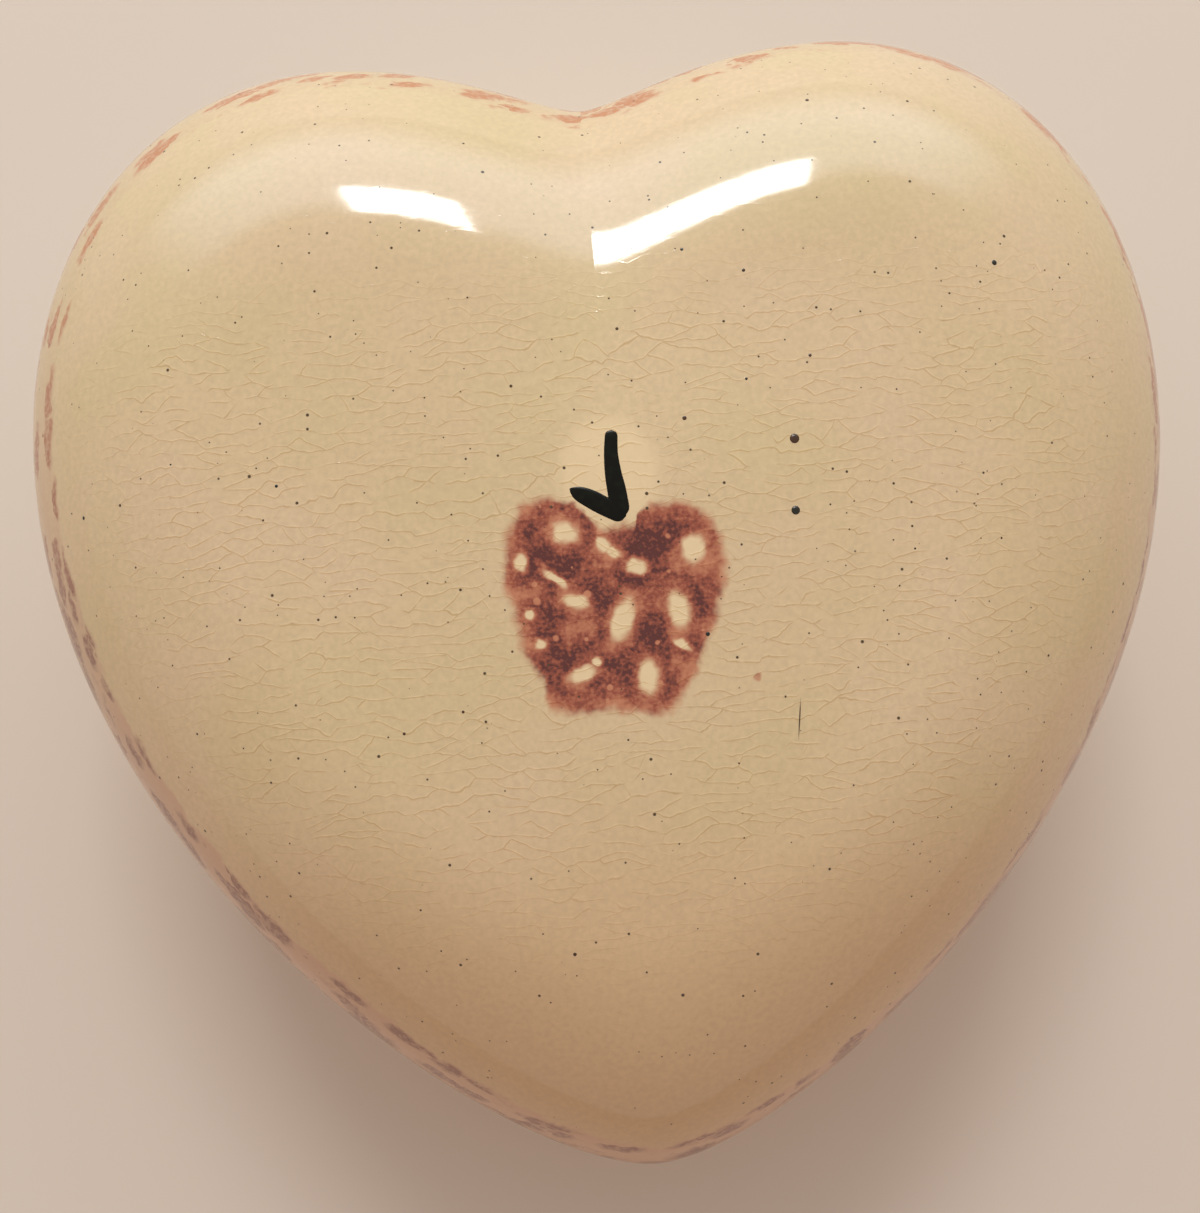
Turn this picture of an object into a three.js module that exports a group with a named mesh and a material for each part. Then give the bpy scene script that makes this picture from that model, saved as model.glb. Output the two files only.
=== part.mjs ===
// A heart-shaped trinket box of glazed ceramic: a walled base and a domed lid that lifts off.
// Sizes are in millimetres, +Z is up, the cleft of the heart points to +Y and the tip to -Y.
// The origin lies on the table, under the middle of the heart.
import * as THREE from "three";

// The heart's outline at the lid's edge
const heartWidth = 115;
const heartLength = 113;
const crestSpacing = 50;
const crestAboveWidest = 38.9;
const cleftDepth = 5.6;
const cleftHandleShares = [0.14, 0.48];
const lobeHandleShares = [0.585, 0.591];
const flankHandleShares = [0.553, 0.243];
const cleftInsetShare = 1.16;
const tipInsetShare = 1.12;

// The base
const baseHeight = 31;
const baseWall = 4.5;
const baseFloor = 5;
const baseTaper = 3;
const heelRadius = 7;
const cavityRadius = 8;
const rimRadius = 1;
const footHeight = 1.5;
const footWidth = 4;
const footChamfer = 0.5;

// The lid
const lidOverhang = 1;
const lidWall = 4.5;
const lidSide = 2.6;
const lidEdgeRadius = 1.2;
const shoulderHeight = 13;
const shoulderWidth = 24;
const shoulderPower = 2.2;
const shoulderRoundness = 1.4;
const crownHeight = 4;
const ceilingRadius = 6;
const flangeDepth = 5;
const flangeWall = 3;
const flangeChamfer = 0.6;

// Clearances
const seatGap = 0.3;
const flangeClearance = 0.8;

// Fineness of the meshes
const flankSteps = 18;
const lobeSteps = 12;
const cleftSteps = 10;
const roundSteps = 4;
const shoulderSteps = 10;
const crownSteps = 5;
const shoulderBunching = 1.7;

const glaze = { color: 0xdcc79a, roughness: 0.16, metalness: 0 };

// Insets that both pieces share, counted inwards from the lid's edge
const baseTop = lidOverhang;
const cavityTop = baseTop + baseWall;
const flangeOutside = cavityTop + flangeClearance;
const flangeInside = flangeOutside + flangeWall;
const heelTop = baseTop + baseTaper;
const footOutside = heelTop + heelRadius;
const footInside = footOutside + footWidth;
const lidSeat = baseHeight + seatGap;

// The heart drawn a little smaller, anticlockwise from its tip: the crests and the widest points move
// straight in by the inset, and the cleft and the tip move by their share of it.
function heart(inset) {
  const top = heartLength / 2 - inset;
  const side = heartWidth / 2 - inset;
  const crest = crestSpacing / 2;
  const widest = heartLength / 2 - crestAboveWidest;
  const cleft = heartLength / 2 - cleftDepth - inset * cleftInsetShare;
  const tip = inset * tipInsetShare - heartLength / 2;
  const [atCleft, beforeCrest] = cleftHandleShares;
  const [afterCrest, aboveWidest] = lobeHandleShares;
  const [belowWidest, atTip] = flankHandleShares;
  const flank = new THREE.CubicBezierCurve(
    new THREE.Vector2(0, tip),
    new THREE.Vector2(side * atTip, tip),
    new THREE.Vector2(side, widest - (widest - tip) * belowWidest),
    new THREE.Vector2(side, widest),
  );
  const lobe = new THREE.CubicBezierCurve(
    new THREE.Vector2(side, widest),
    new THREE.Vector2(side, widest + (top - widest) * aboveWidest),
    new THREE.Vector2(crest + (side - crest) * afterCrest, top),
    new THREE.Vector2(crest, top),
  );
  const dip = new THREE.CubicBezierCurve(
    new THREE.Vector2(crest, top),
    new THREE.Vector2(crest * (1 - beforeCrest), top),
    new THREE.Vector2(crest * atCleft, cleft),
    new THREE.Vector2(0, cleft),
  );
  const right = [
    ...flank.getPoints(flankSteps),
    ...lobe.getPoints(lobeSteps).slice(1),
    ...dip.getPoints(cleftSteps).slice(1),
  ];
  const left = right.slice(1, -1).reverse().map((point) => new THREE.Vector2(-point.x, point.y));
  return [...right, ...left];
}

// A ring of points at an inset. The height is a number, or a function of a point and the inset.
function ring(inset, height) {
  return heart(inset).map((at) => {
    const z = typeof height === "function" ? height(at, inset) : height;
    return new THREE.Vector3(at.x, at.y, z);
  });
}

// A ring shrunk towards the middle of the heart by a share of its size
function shrunkRing(from, share, height) {
  return from.map((point) => {
    const at = new THREE.Vector2(point.x, point.y).multiplyScalar(share);
    return new THREE.Vector3(at.x, at.y, height(at));
  });
}

// A quarter round between two profile points [inset, height], as the profile points after the first.
// It leaves the first point along the inset if startsLevel is true, and upright otherwise.
function quarterRound(from, to, startsLevel) {
  return Array.from({ length: roundSteps }, (_, i) => {
    const turn = ((i + 1) / roundSteps) * (Math.PI / 2);
    const level = startsLevel ? Math.sin(turn) : 1 - Math.cos(turn);
    const upright = startsLevel ? 1 - Math.cos(turn) : Math.sin(turn);
    return [from[0] + (to[0] - from[0]) * level, from[1] + (to[1] - from[1]) * upright];
  });
}

// A closed body through rings of equal count. The first and last ring close onto a point each.
function loft(rings, firstMiddle, lastMiddle) {
  const count = rings[0].length;
  const positions = [firstMiddle, ...rings.flat(), lastMiddle].flatMap((p) => [p.x, p.y, p.z]);
  const at = (r, i) => 1 + r * count + (i % count);
  const end = 1 + rings.length * count;
  const faces = [];
  for (let i = 0; i < count; i++) {
    faces.push(0, at(0, i + 1), at(0, i));
    faces.push(end, at(rings.length - 1, i), at(rings.length - 1, i + 1));
    for (let r = 0; r + 1 < rings.length; r++) {
      faces.push(at(r, i), at(r, i + 1), at(r + 1, i + 1));
      faces.push(at(r, i), at(r + 1, i + 1), at(r + 1, i));
    }
  }
  const geometry = new THREE.BufferGeometry();
  geometry.setAttribute("position", new THREE.Float32BufferAttribute(positions, 3));
  geometry.setIndex(faces);
  geometry.computeVertexNormals();
  return geometry;
}

// The base: a recessed underside, a foot ring, a heel, a wall that leans out, a round rim and a cavity
function base() {
  const underside = footHeight;
  const floorTop = underside + baseFloor;
  const rimStart = baseHeight - rimRadius;
  const cavityBottom = cavityTop + baseTaper;
  const cavityCorner = floorTop + cavityRadius;
  const profile = [
    [footInside + footChamfer, underside],
    [footInside, footChamfer],
    [footInside - footChamfer, 0],
    [footOutside + footChamfer, 0],
    [footOutside, footChamfer],
    [footOutside, underside],
    ...quarterRound([footOutside, underside], [heelTop, underside + heelRadius], true),
    [baseTop, rimStart],
    ...quarterRound([baseTop, rimStart], [baseTop + rimRadius, baseHeight], false),
    [cavityTop - rimRadius, baseHeight],
    ...quarterRound([cavityTop - rimRadius, baseHeight], [cavityTop, rimStart], true),
    [cavityBottom, cavityCorner],
    ...quarterRound([cavityBottom, cavityCorner], [cavityBottom + cavityRadius, floorTop], false),
  ];
  return loft(
    profile.map(([inset, height]) => ring(inset, height)),
    new THREE.Vector3(0, 0, underside),
    new THREE.Vector3(0, 0, floorTop),
  );
}

// Height of the lid's outside: a round shoulder of even width that carries a shallow crown
function lidTop(at, inset) {
  const left = Math.max(0, 1 - inset / shoulderWidth);
  const rise = (1 - left ** shoulderPower) ** (1 / shoulderRoundness);
  const crown = crownHeight * (1 - at.lengthSq() / (heartWidth / 2) ** 2);
  return lidSeat + lidSide + rise * (shoulderHeight + crown);
}

// The lid: an inner ceiling, a flange that drops into the base, a flat seat and the domed outside
function lid() {
  const ceiling = (at, inset) => lidTop(at, inset) - lidWall;
  const ceilingEdge = flangeInside + ceilingRadius;
  const ceilingRound = quarterRound([ceilingEdge, 0], [flangeInside, -ceilingRadius], true).map(
    ([inset, drop]) => ring(inset, (at) => ceiling(at, ceilingEdge) + drop),
  );
  const flangeBottom = lidSeat - flangeDepth;
  const rim = [
    [flangeInside, flangeBottom + flangeChamfer],
    [flangeInside - flangeChamfer, flangeBottom],
    [flangeOutside + flangeChamfer, flangeBottom],
    [flangeOutside, flangeBottom + flangeChamfer],
    [flangeOutside, lidSeat],
    [lidEdgeRadius, lidSeat],
    ...quarterRound([lidEdgeRadius, lidSeat], [0, lidSeat + lidEdgeRadius], true),
  ].map(([inset, height]) => ring(inset, height));
  const shoulder = Array.from({ length: shoulderSteps + 1 }, (_, i) =>
    ring(shoulderWidth * (i / shoulderSteps) ** shoulderBunching, lidTop),
  );
  const crown = Array.from({ length: crownSteps - 1 }, (_, i) =>
    shrunkRing(shoulder[shoulderSteps], 1 - (i + 1) / crownSteps, (at) => lidTop(at, shoulderWidth)),
  );
  const innerShoulder = [shoulderWidth, (shoulderWidth + ceilingEdge) / 2, ceilingEdge].map((inset) =>
    ring(inset, ceiling),
  );
  const innerCrown = Array.from({ length: crownSteps - 1 }, (_, i) =>
    shrunkRing(innerShoulder[0], (i + 1) / crownSteps, (at) => ceiling(at, shoulderWidth)),
  );
  const middle = new THREE.Vector2(0, 0);
  return loft(
    [...innerCrown, ...innerShoulder, ...ceilingRound, ...rim, ...shoulder, ...crown],
    new THREE.Vector3(0, 0, ceiling(middle, shoulderWidth)),
    new THREE.Vector3(0, 0, lidTop(middle, shoulderWidth)),
  );
}

function piece(name, geometry) {
  const mesh = new THREE.Mesh(geometry, new THREE.MeshStandardMaterial(glaze));
  mesh.name = name;
  return mesh;
}

const box = new THREE.Group();
box.add(piece("base", base()));
box.add(piece("lid", lid()));

export default box;
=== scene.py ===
"""Dresses a heart-shaped trinket box: a glazed earthenware base and a domed lid, with a sponged apple
under a brushed stem, a sponged band round the lid's edge, crazing and iron specks."""
import math
from collections import namedtuple

import bpy
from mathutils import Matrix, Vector


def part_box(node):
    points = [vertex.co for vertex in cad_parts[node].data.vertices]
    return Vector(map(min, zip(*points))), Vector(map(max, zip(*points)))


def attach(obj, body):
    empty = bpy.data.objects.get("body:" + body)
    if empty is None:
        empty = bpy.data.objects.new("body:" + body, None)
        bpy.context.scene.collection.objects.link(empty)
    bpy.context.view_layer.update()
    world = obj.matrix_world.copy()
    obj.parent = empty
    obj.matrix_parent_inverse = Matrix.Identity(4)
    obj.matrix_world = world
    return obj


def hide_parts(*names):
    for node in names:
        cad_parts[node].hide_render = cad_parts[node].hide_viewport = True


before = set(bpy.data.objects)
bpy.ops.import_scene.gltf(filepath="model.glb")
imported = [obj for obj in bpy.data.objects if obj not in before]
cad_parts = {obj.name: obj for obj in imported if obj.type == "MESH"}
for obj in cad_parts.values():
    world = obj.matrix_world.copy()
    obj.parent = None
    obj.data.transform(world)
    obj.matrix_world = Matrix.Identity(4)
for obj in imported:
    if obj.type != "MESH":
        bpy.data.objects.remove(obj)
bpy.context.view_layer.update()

MM = 0.001
LID_LOW, LID_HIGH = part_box("lid")
BASE_LOW, BASE_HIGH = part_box("base")

# The heart's outline at the lid's edge, and how its cleft and its tip move in with an inset
HEART_WIDTH = LID_HIGH.x - LID_LOW.x
HEART_LENGTH = LID_HIGH.y - LID_LOW.y
CREST_SPACING = 50 * MM
CREST_ABOVE_WIDEST = 38.9 * MM
CLEFT_DEPTH = 5.6 * MM
CLEFT_HANDLE_SHARES = (0.14, 0.48)
LOBE_HANDLE_SHARES = (0.585, 0.591)
FLANK_HANDLE_SHARES = (0.553, 0.243)
CLEFT_INSET_SHARE = 1.16
TIP_INSET_SHARE = 1.12

# The lid
SEAT_GAP = 0.3 * MM
LID_SEAT = BASE_HIGH.z + SEAT_GAP
LID_WALL = 4.5 * MM
LID_SIDE = 2.6 * MM
LID_EDGE_RADIUS = 1.2 * MM
DOME_FOOT = LID_SEAT + LID_SIDE
CROWN_HEIGHT = 4 * MM
SHOULDER_HEIGHT = LID_HIGH.z - DOME_FOOT - CROWN_HEIGHT
SHOULDER_WIDTH = 24 * MM
SHOULDER_POWER = 2.2
SHOULDER_ROUNDNESS = 1.4
CEILING_RADIUS = 6 * MM
FLANGE_OUTSIDE = 6.3 * MM
FLANGE_WALL = 3 * MM
FLANGE_INSIDE = FLANGE_OUTSIDE + FLANGE_WALL
FLANGE_BOTTOM = LID_LOW.z
FLANGE_ROUND = 0.7 * MM
FLANGE_FILLET = 0.5 * MM

# The base
RIM_OUTSIDE = BASE_LOW.x - LID_LOW.x
BASE_WALL = 4.5 * MM
RIM_ROUND = 1 * MM
RIM_MIDDLE = RIM_OUTSIDE + BASE_WALL / 2
CAVITY_TOP = RIM_OUTSIDE + BASE_WALL
CAVITY_LEAN = 4.5 * MM
CAVITY_CORNER = CAVITY_TOP + CAVITY_LEAN
CAVITY_RADIUS = 8 * MM
FOOT_HEIGHT = 1.5 * MM
FOOT_OUTSIDE = 11 * MM
FOOT_WIDTH = 4 * MM
FOOT_INSIDE = FOOT_OUTSIDE + FOOT_WIDTH
FOOT_ROUND = 0.5 * MM
FLOOR_THICKNESS = 5 * MM
FLOOR_TOP = FOOT_HEIGHT + FLOOR_THICKNESS
WALL_LEAN = 3.9 * MM
HEEL_CORNER = RIM_OUTSIDE + WALL_LEAN
HEEL_RADIUS = 6.5 * MM

# Unevenness of the castings
WAVE_SPACING = 26 * MM
LID_WAVE_HEIGHT = 0.3 * MM
BASE_WAVE_HEIGHT = 0.35 * MM
LID_WAVE_SEED = 3.0
BASE_WAVE_SEED = 8.0

# The fold that runs into the dome from the cleft, steeper on its left
FOLD_DEPTH = 1.4 * MM
FOLD_LEFT_REACH = 15 * MM
FOLD_RIGHT_REACH = 30 * MM
FOLD_FULL_AT = 30 * MM
FOLD_ENDS_AT = 8 * MM

# Fineness of the meshes
COLUMNS = 384
ROW_STEP = 1.1 * MM
ROUND_STEPS = 8
SHOULDER_ROWS = 46
SHOULDER_BUNCHING = 1.9
CROWN_ROWS = 30
WELD_DISTANCE = 0.001 * MM

# Where the flank and the lobe end on the run round one half
FLANK_END_SHARE = 0.5
LOBE_END_SHARE = 0.82

# The texture map: its margin, and the side of the square that the lid's top or half of the base fills
MAP_MARGIN_SHARE = 0.98
LID_TOP_MAP_SHARE = 0.64
BASE_MAP_SHARE = 0.5

# One place on a profile: its inset, its height, the share that the ring is shrunk to, the share of
# the dome that is added to its height, and the inset at which the dome is read
Station = namedtuple("Station", "inset height share domed dome_inset")
SHEET_FIELDS = (*Station._fields, "turn", "unrolled", "wave", "map_scale", "map_x", "map_y")


def add(tree, kind, inputs=None, **settings):
    """Adds a node with its settings, sets or links its inputs, and gives its first output in use.
    An input is named by its number, or by its name among those in use."""
    node = tree.nodes.new(kind)
    for name, value in settings.items():
        setattr(node, name, value)
    for key, value in (inputs or {}).items():
        socket = node.inputs[key] if isinstance(key, int) else next(
            found for found in node.inputs if found.enabled and found.name == key)
        if isinstance(value, bpy.types.NodeSocket):
            tree.links.new(value, socket)
        else:
            socket.default_value = value
    return next((output for output in node.outputs if output.enabled), None)


def colour(code):
    """A linear colour from an sRGB hex code."""
    shares = [int(code[i:i + 2], 16) / 255 for i in (1, 3, 5)]
    linear = [s / 12.92 if s <= 0.04045 else ((s + 0.055) / 1.055) ** 2.4 for s in shares]
    return (*linear, 1)


def new_tree(name, inputs, output):
    """An empty Geometry Nodes tree with named inputs, and its two end nodes."""
    tree = bpy.data.node_groups.new(name, "GeometryNodeTree")
    for label, kind in inputs.items():
        tree.interface.new_socket(label, in_out="INPUT", socket_type=kind)
    tree.interface.new_socket(output[0], in_out="OUTPUT", socket_type=output[1])
    return tree, tree.nodes.new("NodeGroupInput").outputs, tree.nodes.new("NodeGroupOutput").inputs


def grow(piece, tree, values):
    """Runs a tree on a piece and keeps the result as its plain mesh."""
    modifier = piece.modifiers.new(tree.name, "NODES")
    modifier.node_group = tree
    for item in tree.interface.items_tree:
        if item.item_type == "SOCKET" and item.in_out == "INPUT" and item.name in values:
            modifier[item.identifier] = values[item.name]
    graph = bpy.context.evaluated_depsgraph_get()
    mesh = bpy.data.meshes.new_from_object(
        piece.evaluated_get(graph), preserve_all_data_layers=True, depsgraph=graph)
    piece.modifiers.remove(modifier)
    piece.data = mesh
    mesh.name = piece.name
    return piece


def new_piece(name, mesh):
    """An object at the origin that holds a mesh."""
    piece = bpy.data.objects.new(name, mesh)
    bpy.context.scene.collection.objects.link(piece)
    return piece


def levelled(tree, share, power=2, roundness=2):
    """A share that climbs steeply from 0 and levels out at 1, along a quarter circle unless the power
    and the roundness say otherwise."""
    left = add(tree, "ShaderNodeMath", {0: 1, 1: share}, operation="SUBTRACT", use_clamp=True)
    bent = add(tree, "ShaderNodeMath", {0: left, 1: power}, operation="POWER")
    risen = add(tree, "ShaderNodeMath", {0: 1, 1: bent}, operation="SUBTRACT")
    return add(tree, "ShaderNodeMath", {0: risen, 1: 1 / roundness}, operation="POWER")


def hand_over(tree, geometry, material, output):
    """Ends a tree: its geometry goes out as one smooth mesh in one material."""
    whole = add(tree, "GeometryNodeRealizeInstances", {"Geometry": geometry})
    smooth = add(tree, "GeometryNodeSetShadeSmooth", {"Geometry": whole})
    dressed = add(tree, "GeometryNodeSetMaterial", {"Geometry": smooth, "Material": material})
    tree.links.new(dressed, output)


# The camera looks down on the lid, nearly square to it, as the photograph does
PHOTO_WIDTH = 1200
PHOTO_HEIGHT = 1213
FOCAL_PIXELS = 1200
CAMERA_PLACE = (-5 * MM, -1.86 * MM, 156.21 * MM)
CAMERA_TURNS = (math.radians(1.03), math.radians(-1.51), math.radians(-4.24))
CAMERA_NEAREST = 10 * MM
CAMERA_FARTHEST = 10


def add_camera():
    """The camera at the photograph's place. Its sensor is as wide as the frame's longer side."""
    data = bpy.data.cameras.new("camera")
    data.lens = data.sensor_width * FOCAL_PIXELS / max(PHOTO_WIDTH, PHOTO_HEIGHT)
    data.clip_start = CAMERA_NEAREST
    data.clip_end = CAMERA_FARTHEST
    camera = new_piece("camera", data)
    camera.location = CAMERA_PLACE
    camera.rotation_euler = CAMERA_TURNS
    bpy.context.scene.camera = camera


add_camera()

# The outline and the dome as nodes
OUTLINE_SIZES = {
    "Heart Width": HEART_WIDTH,
    "Heart Length": HEART_LENGTH,
    "Crest Spacing": CREST_SPACING,
    "Crest Above Widest": CREST_ABOVE_WIDEST,
    "Cleft Depth": CLEFT_DEPTH,
}
DOME_SIZES = {
    "Dome Foot": DOME_FOOT,
    "Shoulder Height": SHOULDER_HEIGHT,
    "Shoulder Width": SHOULDER_WIDTH,
    "Crown Height": CROWN_HEIGHT,
    "Fold Depth": FOLD_DEPTH,
}


def stretch(tree, corners, share):
    """How far a point has come along one cubic stretch of the outline, at a share of its run."""
    left = add(tree, "ShaderNodeMath", {0: 1, 1: share}, operation="SUBTRACT")
    both = add(tree, "ShaderNodeMath", {0: left, 1: share}, operation="MULTIPLY")
    early = add(tree, "ShaderNodeMath", {0: both, 1: left}, operation="MULTIPLY")
    late = add(tree, "ShaderNodeMath", {0: both, 1: share}, operation="MULTIPLY")
    weights = (
        add(tree, "ShaderNodeMath", {0: early, 1: 3}, operation="MULTIPLY"),
        add(tree, "ShaderNodeMath", {0: late, 1: 3}, operation="MULTIPLY"),
        add(tree, "ShaderNodeMath", {0: share, 1: 3}, operation="POWER"),
    )
    moved = corners[0]
    for corner, weight in zip(corners[1:], weights):
        way = add(tree, "ShaderNodeVectorMath", {0: corner, 1: corners[0]}, operation="SUBTRACT")
        step = add(tree, "ShaderNodeVectorMath", {0: way, "Scale": weight}, operation="SCALE")
        moved = add(tree, "ShaderNodeVectorMath", {0: moved, 1: step}, operation="ADD")
    return add(tree, "ShaderNodeVectorMath", {0: moved, 1: corners[0]}, operation="SUBTRACT")


def outline_tree():
    """The place on the heart's outline at a turn, counted from the tip, and at an inset. Each half is
    a flank, a lobe and a dip into the cleft, and a point's place is the sum of its ways along them."""
    kinds = {label: "NodeSocketFloat" for label in ("Turn", "Inset", *OUTLINE_SIZES)}
    tree, given, result = new_tree("heart_outline", kinds, ("Place", "NodeSocketVector"))
    inset = given["Inset"]
    half_width, half_length, crest = (
        add(tree, "ShaderNodeMath", {0: given[label], 1: 0.5}, operation="MULTIPLY")
        for label in ("Heart Width", "Heart Length", "Crest Spacing"))
    cleft_way, tip_way = (
        add(tree, "ShaderNodeMath", {0: inset, 1: share}, operation="MULTIPLY")
        for share in (CLEFT_INSET_SHARE, TIP_INSET_SHARE))
    side, top, widest, cleft_edge, tip = (
        add(tree, "ShaderNodeMath", {0: whole, 1: part}, operation="SUBTRACT")
        for whole, part in (
            (half_width, inset), (half_length, inset), (half_length, given["Crest Above Widest"]),
            (half_length, given["Cleft Depth"]), (tip_way, half_length)))
    cleft = add(tree, "ShaderNodeMath", {0: cleft_edge, 1: cleft_way}, operation="SUBTRACT")

    at_cleft, before_crest = CLEFT_HANDLE_SHARES
    after_crest, above_widest = LOBE_HANDLE_SHARES
    below_widest, at_tip = FLANK_HANDLE_SHARES
    tip_handle, dip_handle, cleft_handle = (
        add(tree, "ShaderNodeMath", {0: whole, 1: share}, operation="MULTIPLY")
        for whole, share in ((side, at_tip), (crest, 1 - before_crest), (crest, at_cleft)))
    flank_handle, lobe_handle, crest_handle = (
        add(tree, "ShaderNodeMix", {"Factor": share, "A": near, "B": far})
        for share, near, far in (
            (below_widest, widest, tip), (above_widest, widest, top), (after_crest, crest, side)))
    stretches = [
        [add(tree, "ShaderNodeCombineXYZ", {0: x, 1: y}) for x, y in corners]
        for corners in (
            ((0, tip), (tip_handle, tip), (side, flank_handle), (side, widest)),
            ((side, widest), (side, lobe_handle), (crest_handle, top), (crest, top)),
            ((crest, top), (dip_handle, top), (cleft_handle, cleft), (0, cleft)),
        )
    ]

    # The run goes from 0 at the tip to 1 at the cleft on either half
    from_middle = add(tree, "ShaderNodeMath", {0: given["Turn"], 1: 2, 2: -1}, operation="MULTIPLY_ADD")
    away = add(tree, "ShaderNodeMath", {0: from_middle}, operation="ABSOLUTE")
    run = add(tree, "ShaderNodeMath", {0: 1, 1: away}, operation="SUBTRACT")
    place = stretches[0][0]
    ends = (0, FLANK_END_SHARE, LOBE_END_SHARE, 1)
    for corners, start, end in zip(stretches, ends, ends[1:]):
        share = add(tree, "ShaderNodeMapRange", {"Value": run, "From Min": start, "From Max": end})
        way = stretch(tree, corners, share)
        place = add(tree, "ShaderNodeVectorMath", {0: place, 1: way}, operation="ADD")
    left_half = add(tree, "ShaderNodeMath", {0: from_middle}, operation="SIGN")
    hand = add(tree, "ShaderNodeMath", {0: left_half, 1: -1}, operation="MULTIPLY")
    mirror = add(tree, "ShaderNodeCombineXYZ", {0: hand, 1: 1})
    mirrored = add(tree, "ShaderNodeVectorMath", {0: place, 1: mirror}, operation="MULTIPLY")
    tree.links.new(mirrored, result["Place"])
    return tree


def dome_height(tree, given, place, dome_inset):
    """Height of the domed lid above a place: a round shoulder of even width that carries a shallow
    crown, with a fold between the lobes that fades towards the middle."""
    depth = add(tree, "ShaderNodeMath", {0: dome_inset, 1: given["Shoulder Width"]}, operation="DIVIDE")
    rise = levelled(tree, depth, SHOULDER_POWER, SHOULDER_ROUNDNESS)

    half_width = add(tree, "ShaderNodeMath", {0: given["Heart Width"], 1: 0.5}, operation="MULTIPLY")
    radius = add(tree, "ShaderNodeVectorMath", {0: place}, operation="LENGTH")
    out = add(tree, "ShaderNodeMath", {0: radius, 1: half_width}, operation="DIVIDE")
    fall = add(tree, "ShaderNodeMath", {0: out, 1: 2}, operation="POWER")
    kept = add(tree, "ShaderNodeMath", {0: 1, 1: fall}, operation="SUBTRACT")
    crown = add(tree, "ShaderNodeMath", {0: kept, 1: given["Crown Height"]}, operation="MULTIPLY")

    sides = add(tree, "ShaderNodeSeparateXYZ", {0: place}).node.outputs
    left_slope, right_slope = (
        add(tree, "ShaderNodeMapRange", {"Value": sides[0], "From Min": reach, "From Max": 0})
        for reach in (-FOLD_LEFT_REACH, FOLD_RIGHT_REACH))
    across = add(tree, "ShaderNodeMath", {0: left_slope, 1: right_slope}, operation="MINIMUM")
    along = add(
        tree, "ShaderNodeMapRange",
        {"Value": sides[1], "From Min": FOLD_ENDS_AT, "From Max": FOLD_FULL_AT,
         "To Max": given["Fold Depth"]},
        interpolation_type="SMOOTHSTEP")
    fold = add(tree, "ShaderNodeMath", {0: across, 1: along}, operation="MULTIPLY")

    domed = add(tree, "ShaderNodeMath", {0: given["Shoulder Height"], 1: crown}, operation="ADD")
    folded = add(tree, "ShaderNodeMath", {0: domed, 1: fold}, operation="SUBTRACT")
    return add(
        tree, "ShaderNodeMath", {0: folded, 1: rise, 2: given["Dome Foot"]}, operation="MULTIPLY_ADD")


def casting_tree():
    """Turns a sheet of stations into a heart-shaped casting, and lays out its texture map."""
    kinds = {"Sheet": "NodeSocketGeometry"}
    kinds.update({label: "NodeSocketFloat" for label in (*OUTLINE_SIZES, *DOME_SIZES)})
    kinds.update({
        "Wave Height": "NodeSocketFloat",
        "Wave Spacing": "NodeSocketFloat",
        "Seed": "NodeSocketFloat",
        "Material": "NodeSocketMaterial",
    })
    tree, given, result = new_tree("heart_casting", kinds, ("Casting", "NodeSocketGeometry"))
    read = {
        field: add(tree, "GeometryNodeInputNamedAttribute", {"Name": field}, data_type="FLOAT")
        for field in SHEET_FIELDS
    }
    outline = outline_tree()
    places = []
    for inset in (read["inset"], read["unrolled"]):
        inputs = {"Turn": read["turn"], "Inset": inset, **{label: given[label] for label in OUTLINE_SIZES}}
        ring = add(tree, "GeometryNodeGroup", inputs, node_tree=outline)
        places.append(add(
            tree, "ShaderNodeVectorMath", {0: ring, "Scale": read["share"]}, operation="SCALE"))
    place, flat = places

    dome = dome_height(tree, given, place, read["dome_inset"])
    height = add(
        tree, "ShaderNodeMath", {0: dome, 1: read["domed"], 2: read["height"]}, operation="MULTIPLY_ADD")
    up = add(tree, "ShaderNodeCombineXYZ", {2: height})
    stood = add(tree, "ShaderNodeVectorMath", {0: place, 1: up}, operation="ADD")
    shaped = add(tree, "GeometryNodeSetPosition", {"Geometry": given["Sheet"], "Position": stood})

    # The map is stored before the seams are welded, so that each side keeps its own
    drawn = add(tree, "ShaderNodeVectorMath", {0: flat, "Scale": read["map_scale"]}, operation="SCALE")
    middle = add(tree, "ShaderNodeCombineXYZ", {0: read["map_x"], 1: read["map_y"]})
    on_map = add(tree, "ShaderNodeVectorMath", {0: drawn, 1: middle}, operation="ADD")
    mapped = add(
        tree, "GeometryNodeStoreNamedAttribute", {"Geometry": shaped, "Name": "OFBake", "Value": on_map},
        data_type="FLOAT2", domain="CORNER")
    welded = add(tree, "GeometryNodeMergeByDistance", {"Geometry": mapped, "Distance": WELD_DISTANCE})

    # Cast clay is never quite true: slow waves that only ever go inwards
    spacing = add(tree, "ShaderNodeMath", {0: 1, 1: given["Wave Spacing"]}, operation="DIVIDE")
    wave = add(
        tree, "ShaderNodeTexNoise",
        {"Vector": add(tree, "GeometryNodeInputPosition"), "W": given["Seed"], "Scale": spacing,
         "Detail": 1},
        noise_dimensions="4D")
    held = add(tree, "ShaderNodeMath", {0: wave, 1: read["wave"]}, operation="MULTIPLY")
    deep = add(tree, "ShaderNodeMath", {0: held, 1: given["Wave Height"]}, operation="MULTIPLY")
    inwards = add(tree, "ShaderNodeMath", {0: deep, 1: -1}, operation="MULTIPLY")
    outwards = add(tree, "GeometryNodeInputNormal")
    shift = add(tree, "ShaderNodeVectorMath", {0: outwards, "Scale": inwards}, operation="SCALE")
    cast = add(tree, "GeometryNodeSetPosition", {"Geometry": welded, "Offset": shift})
    hand_over(tree, cast, given["Material"], result["Casting"])
    return tree


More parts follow.
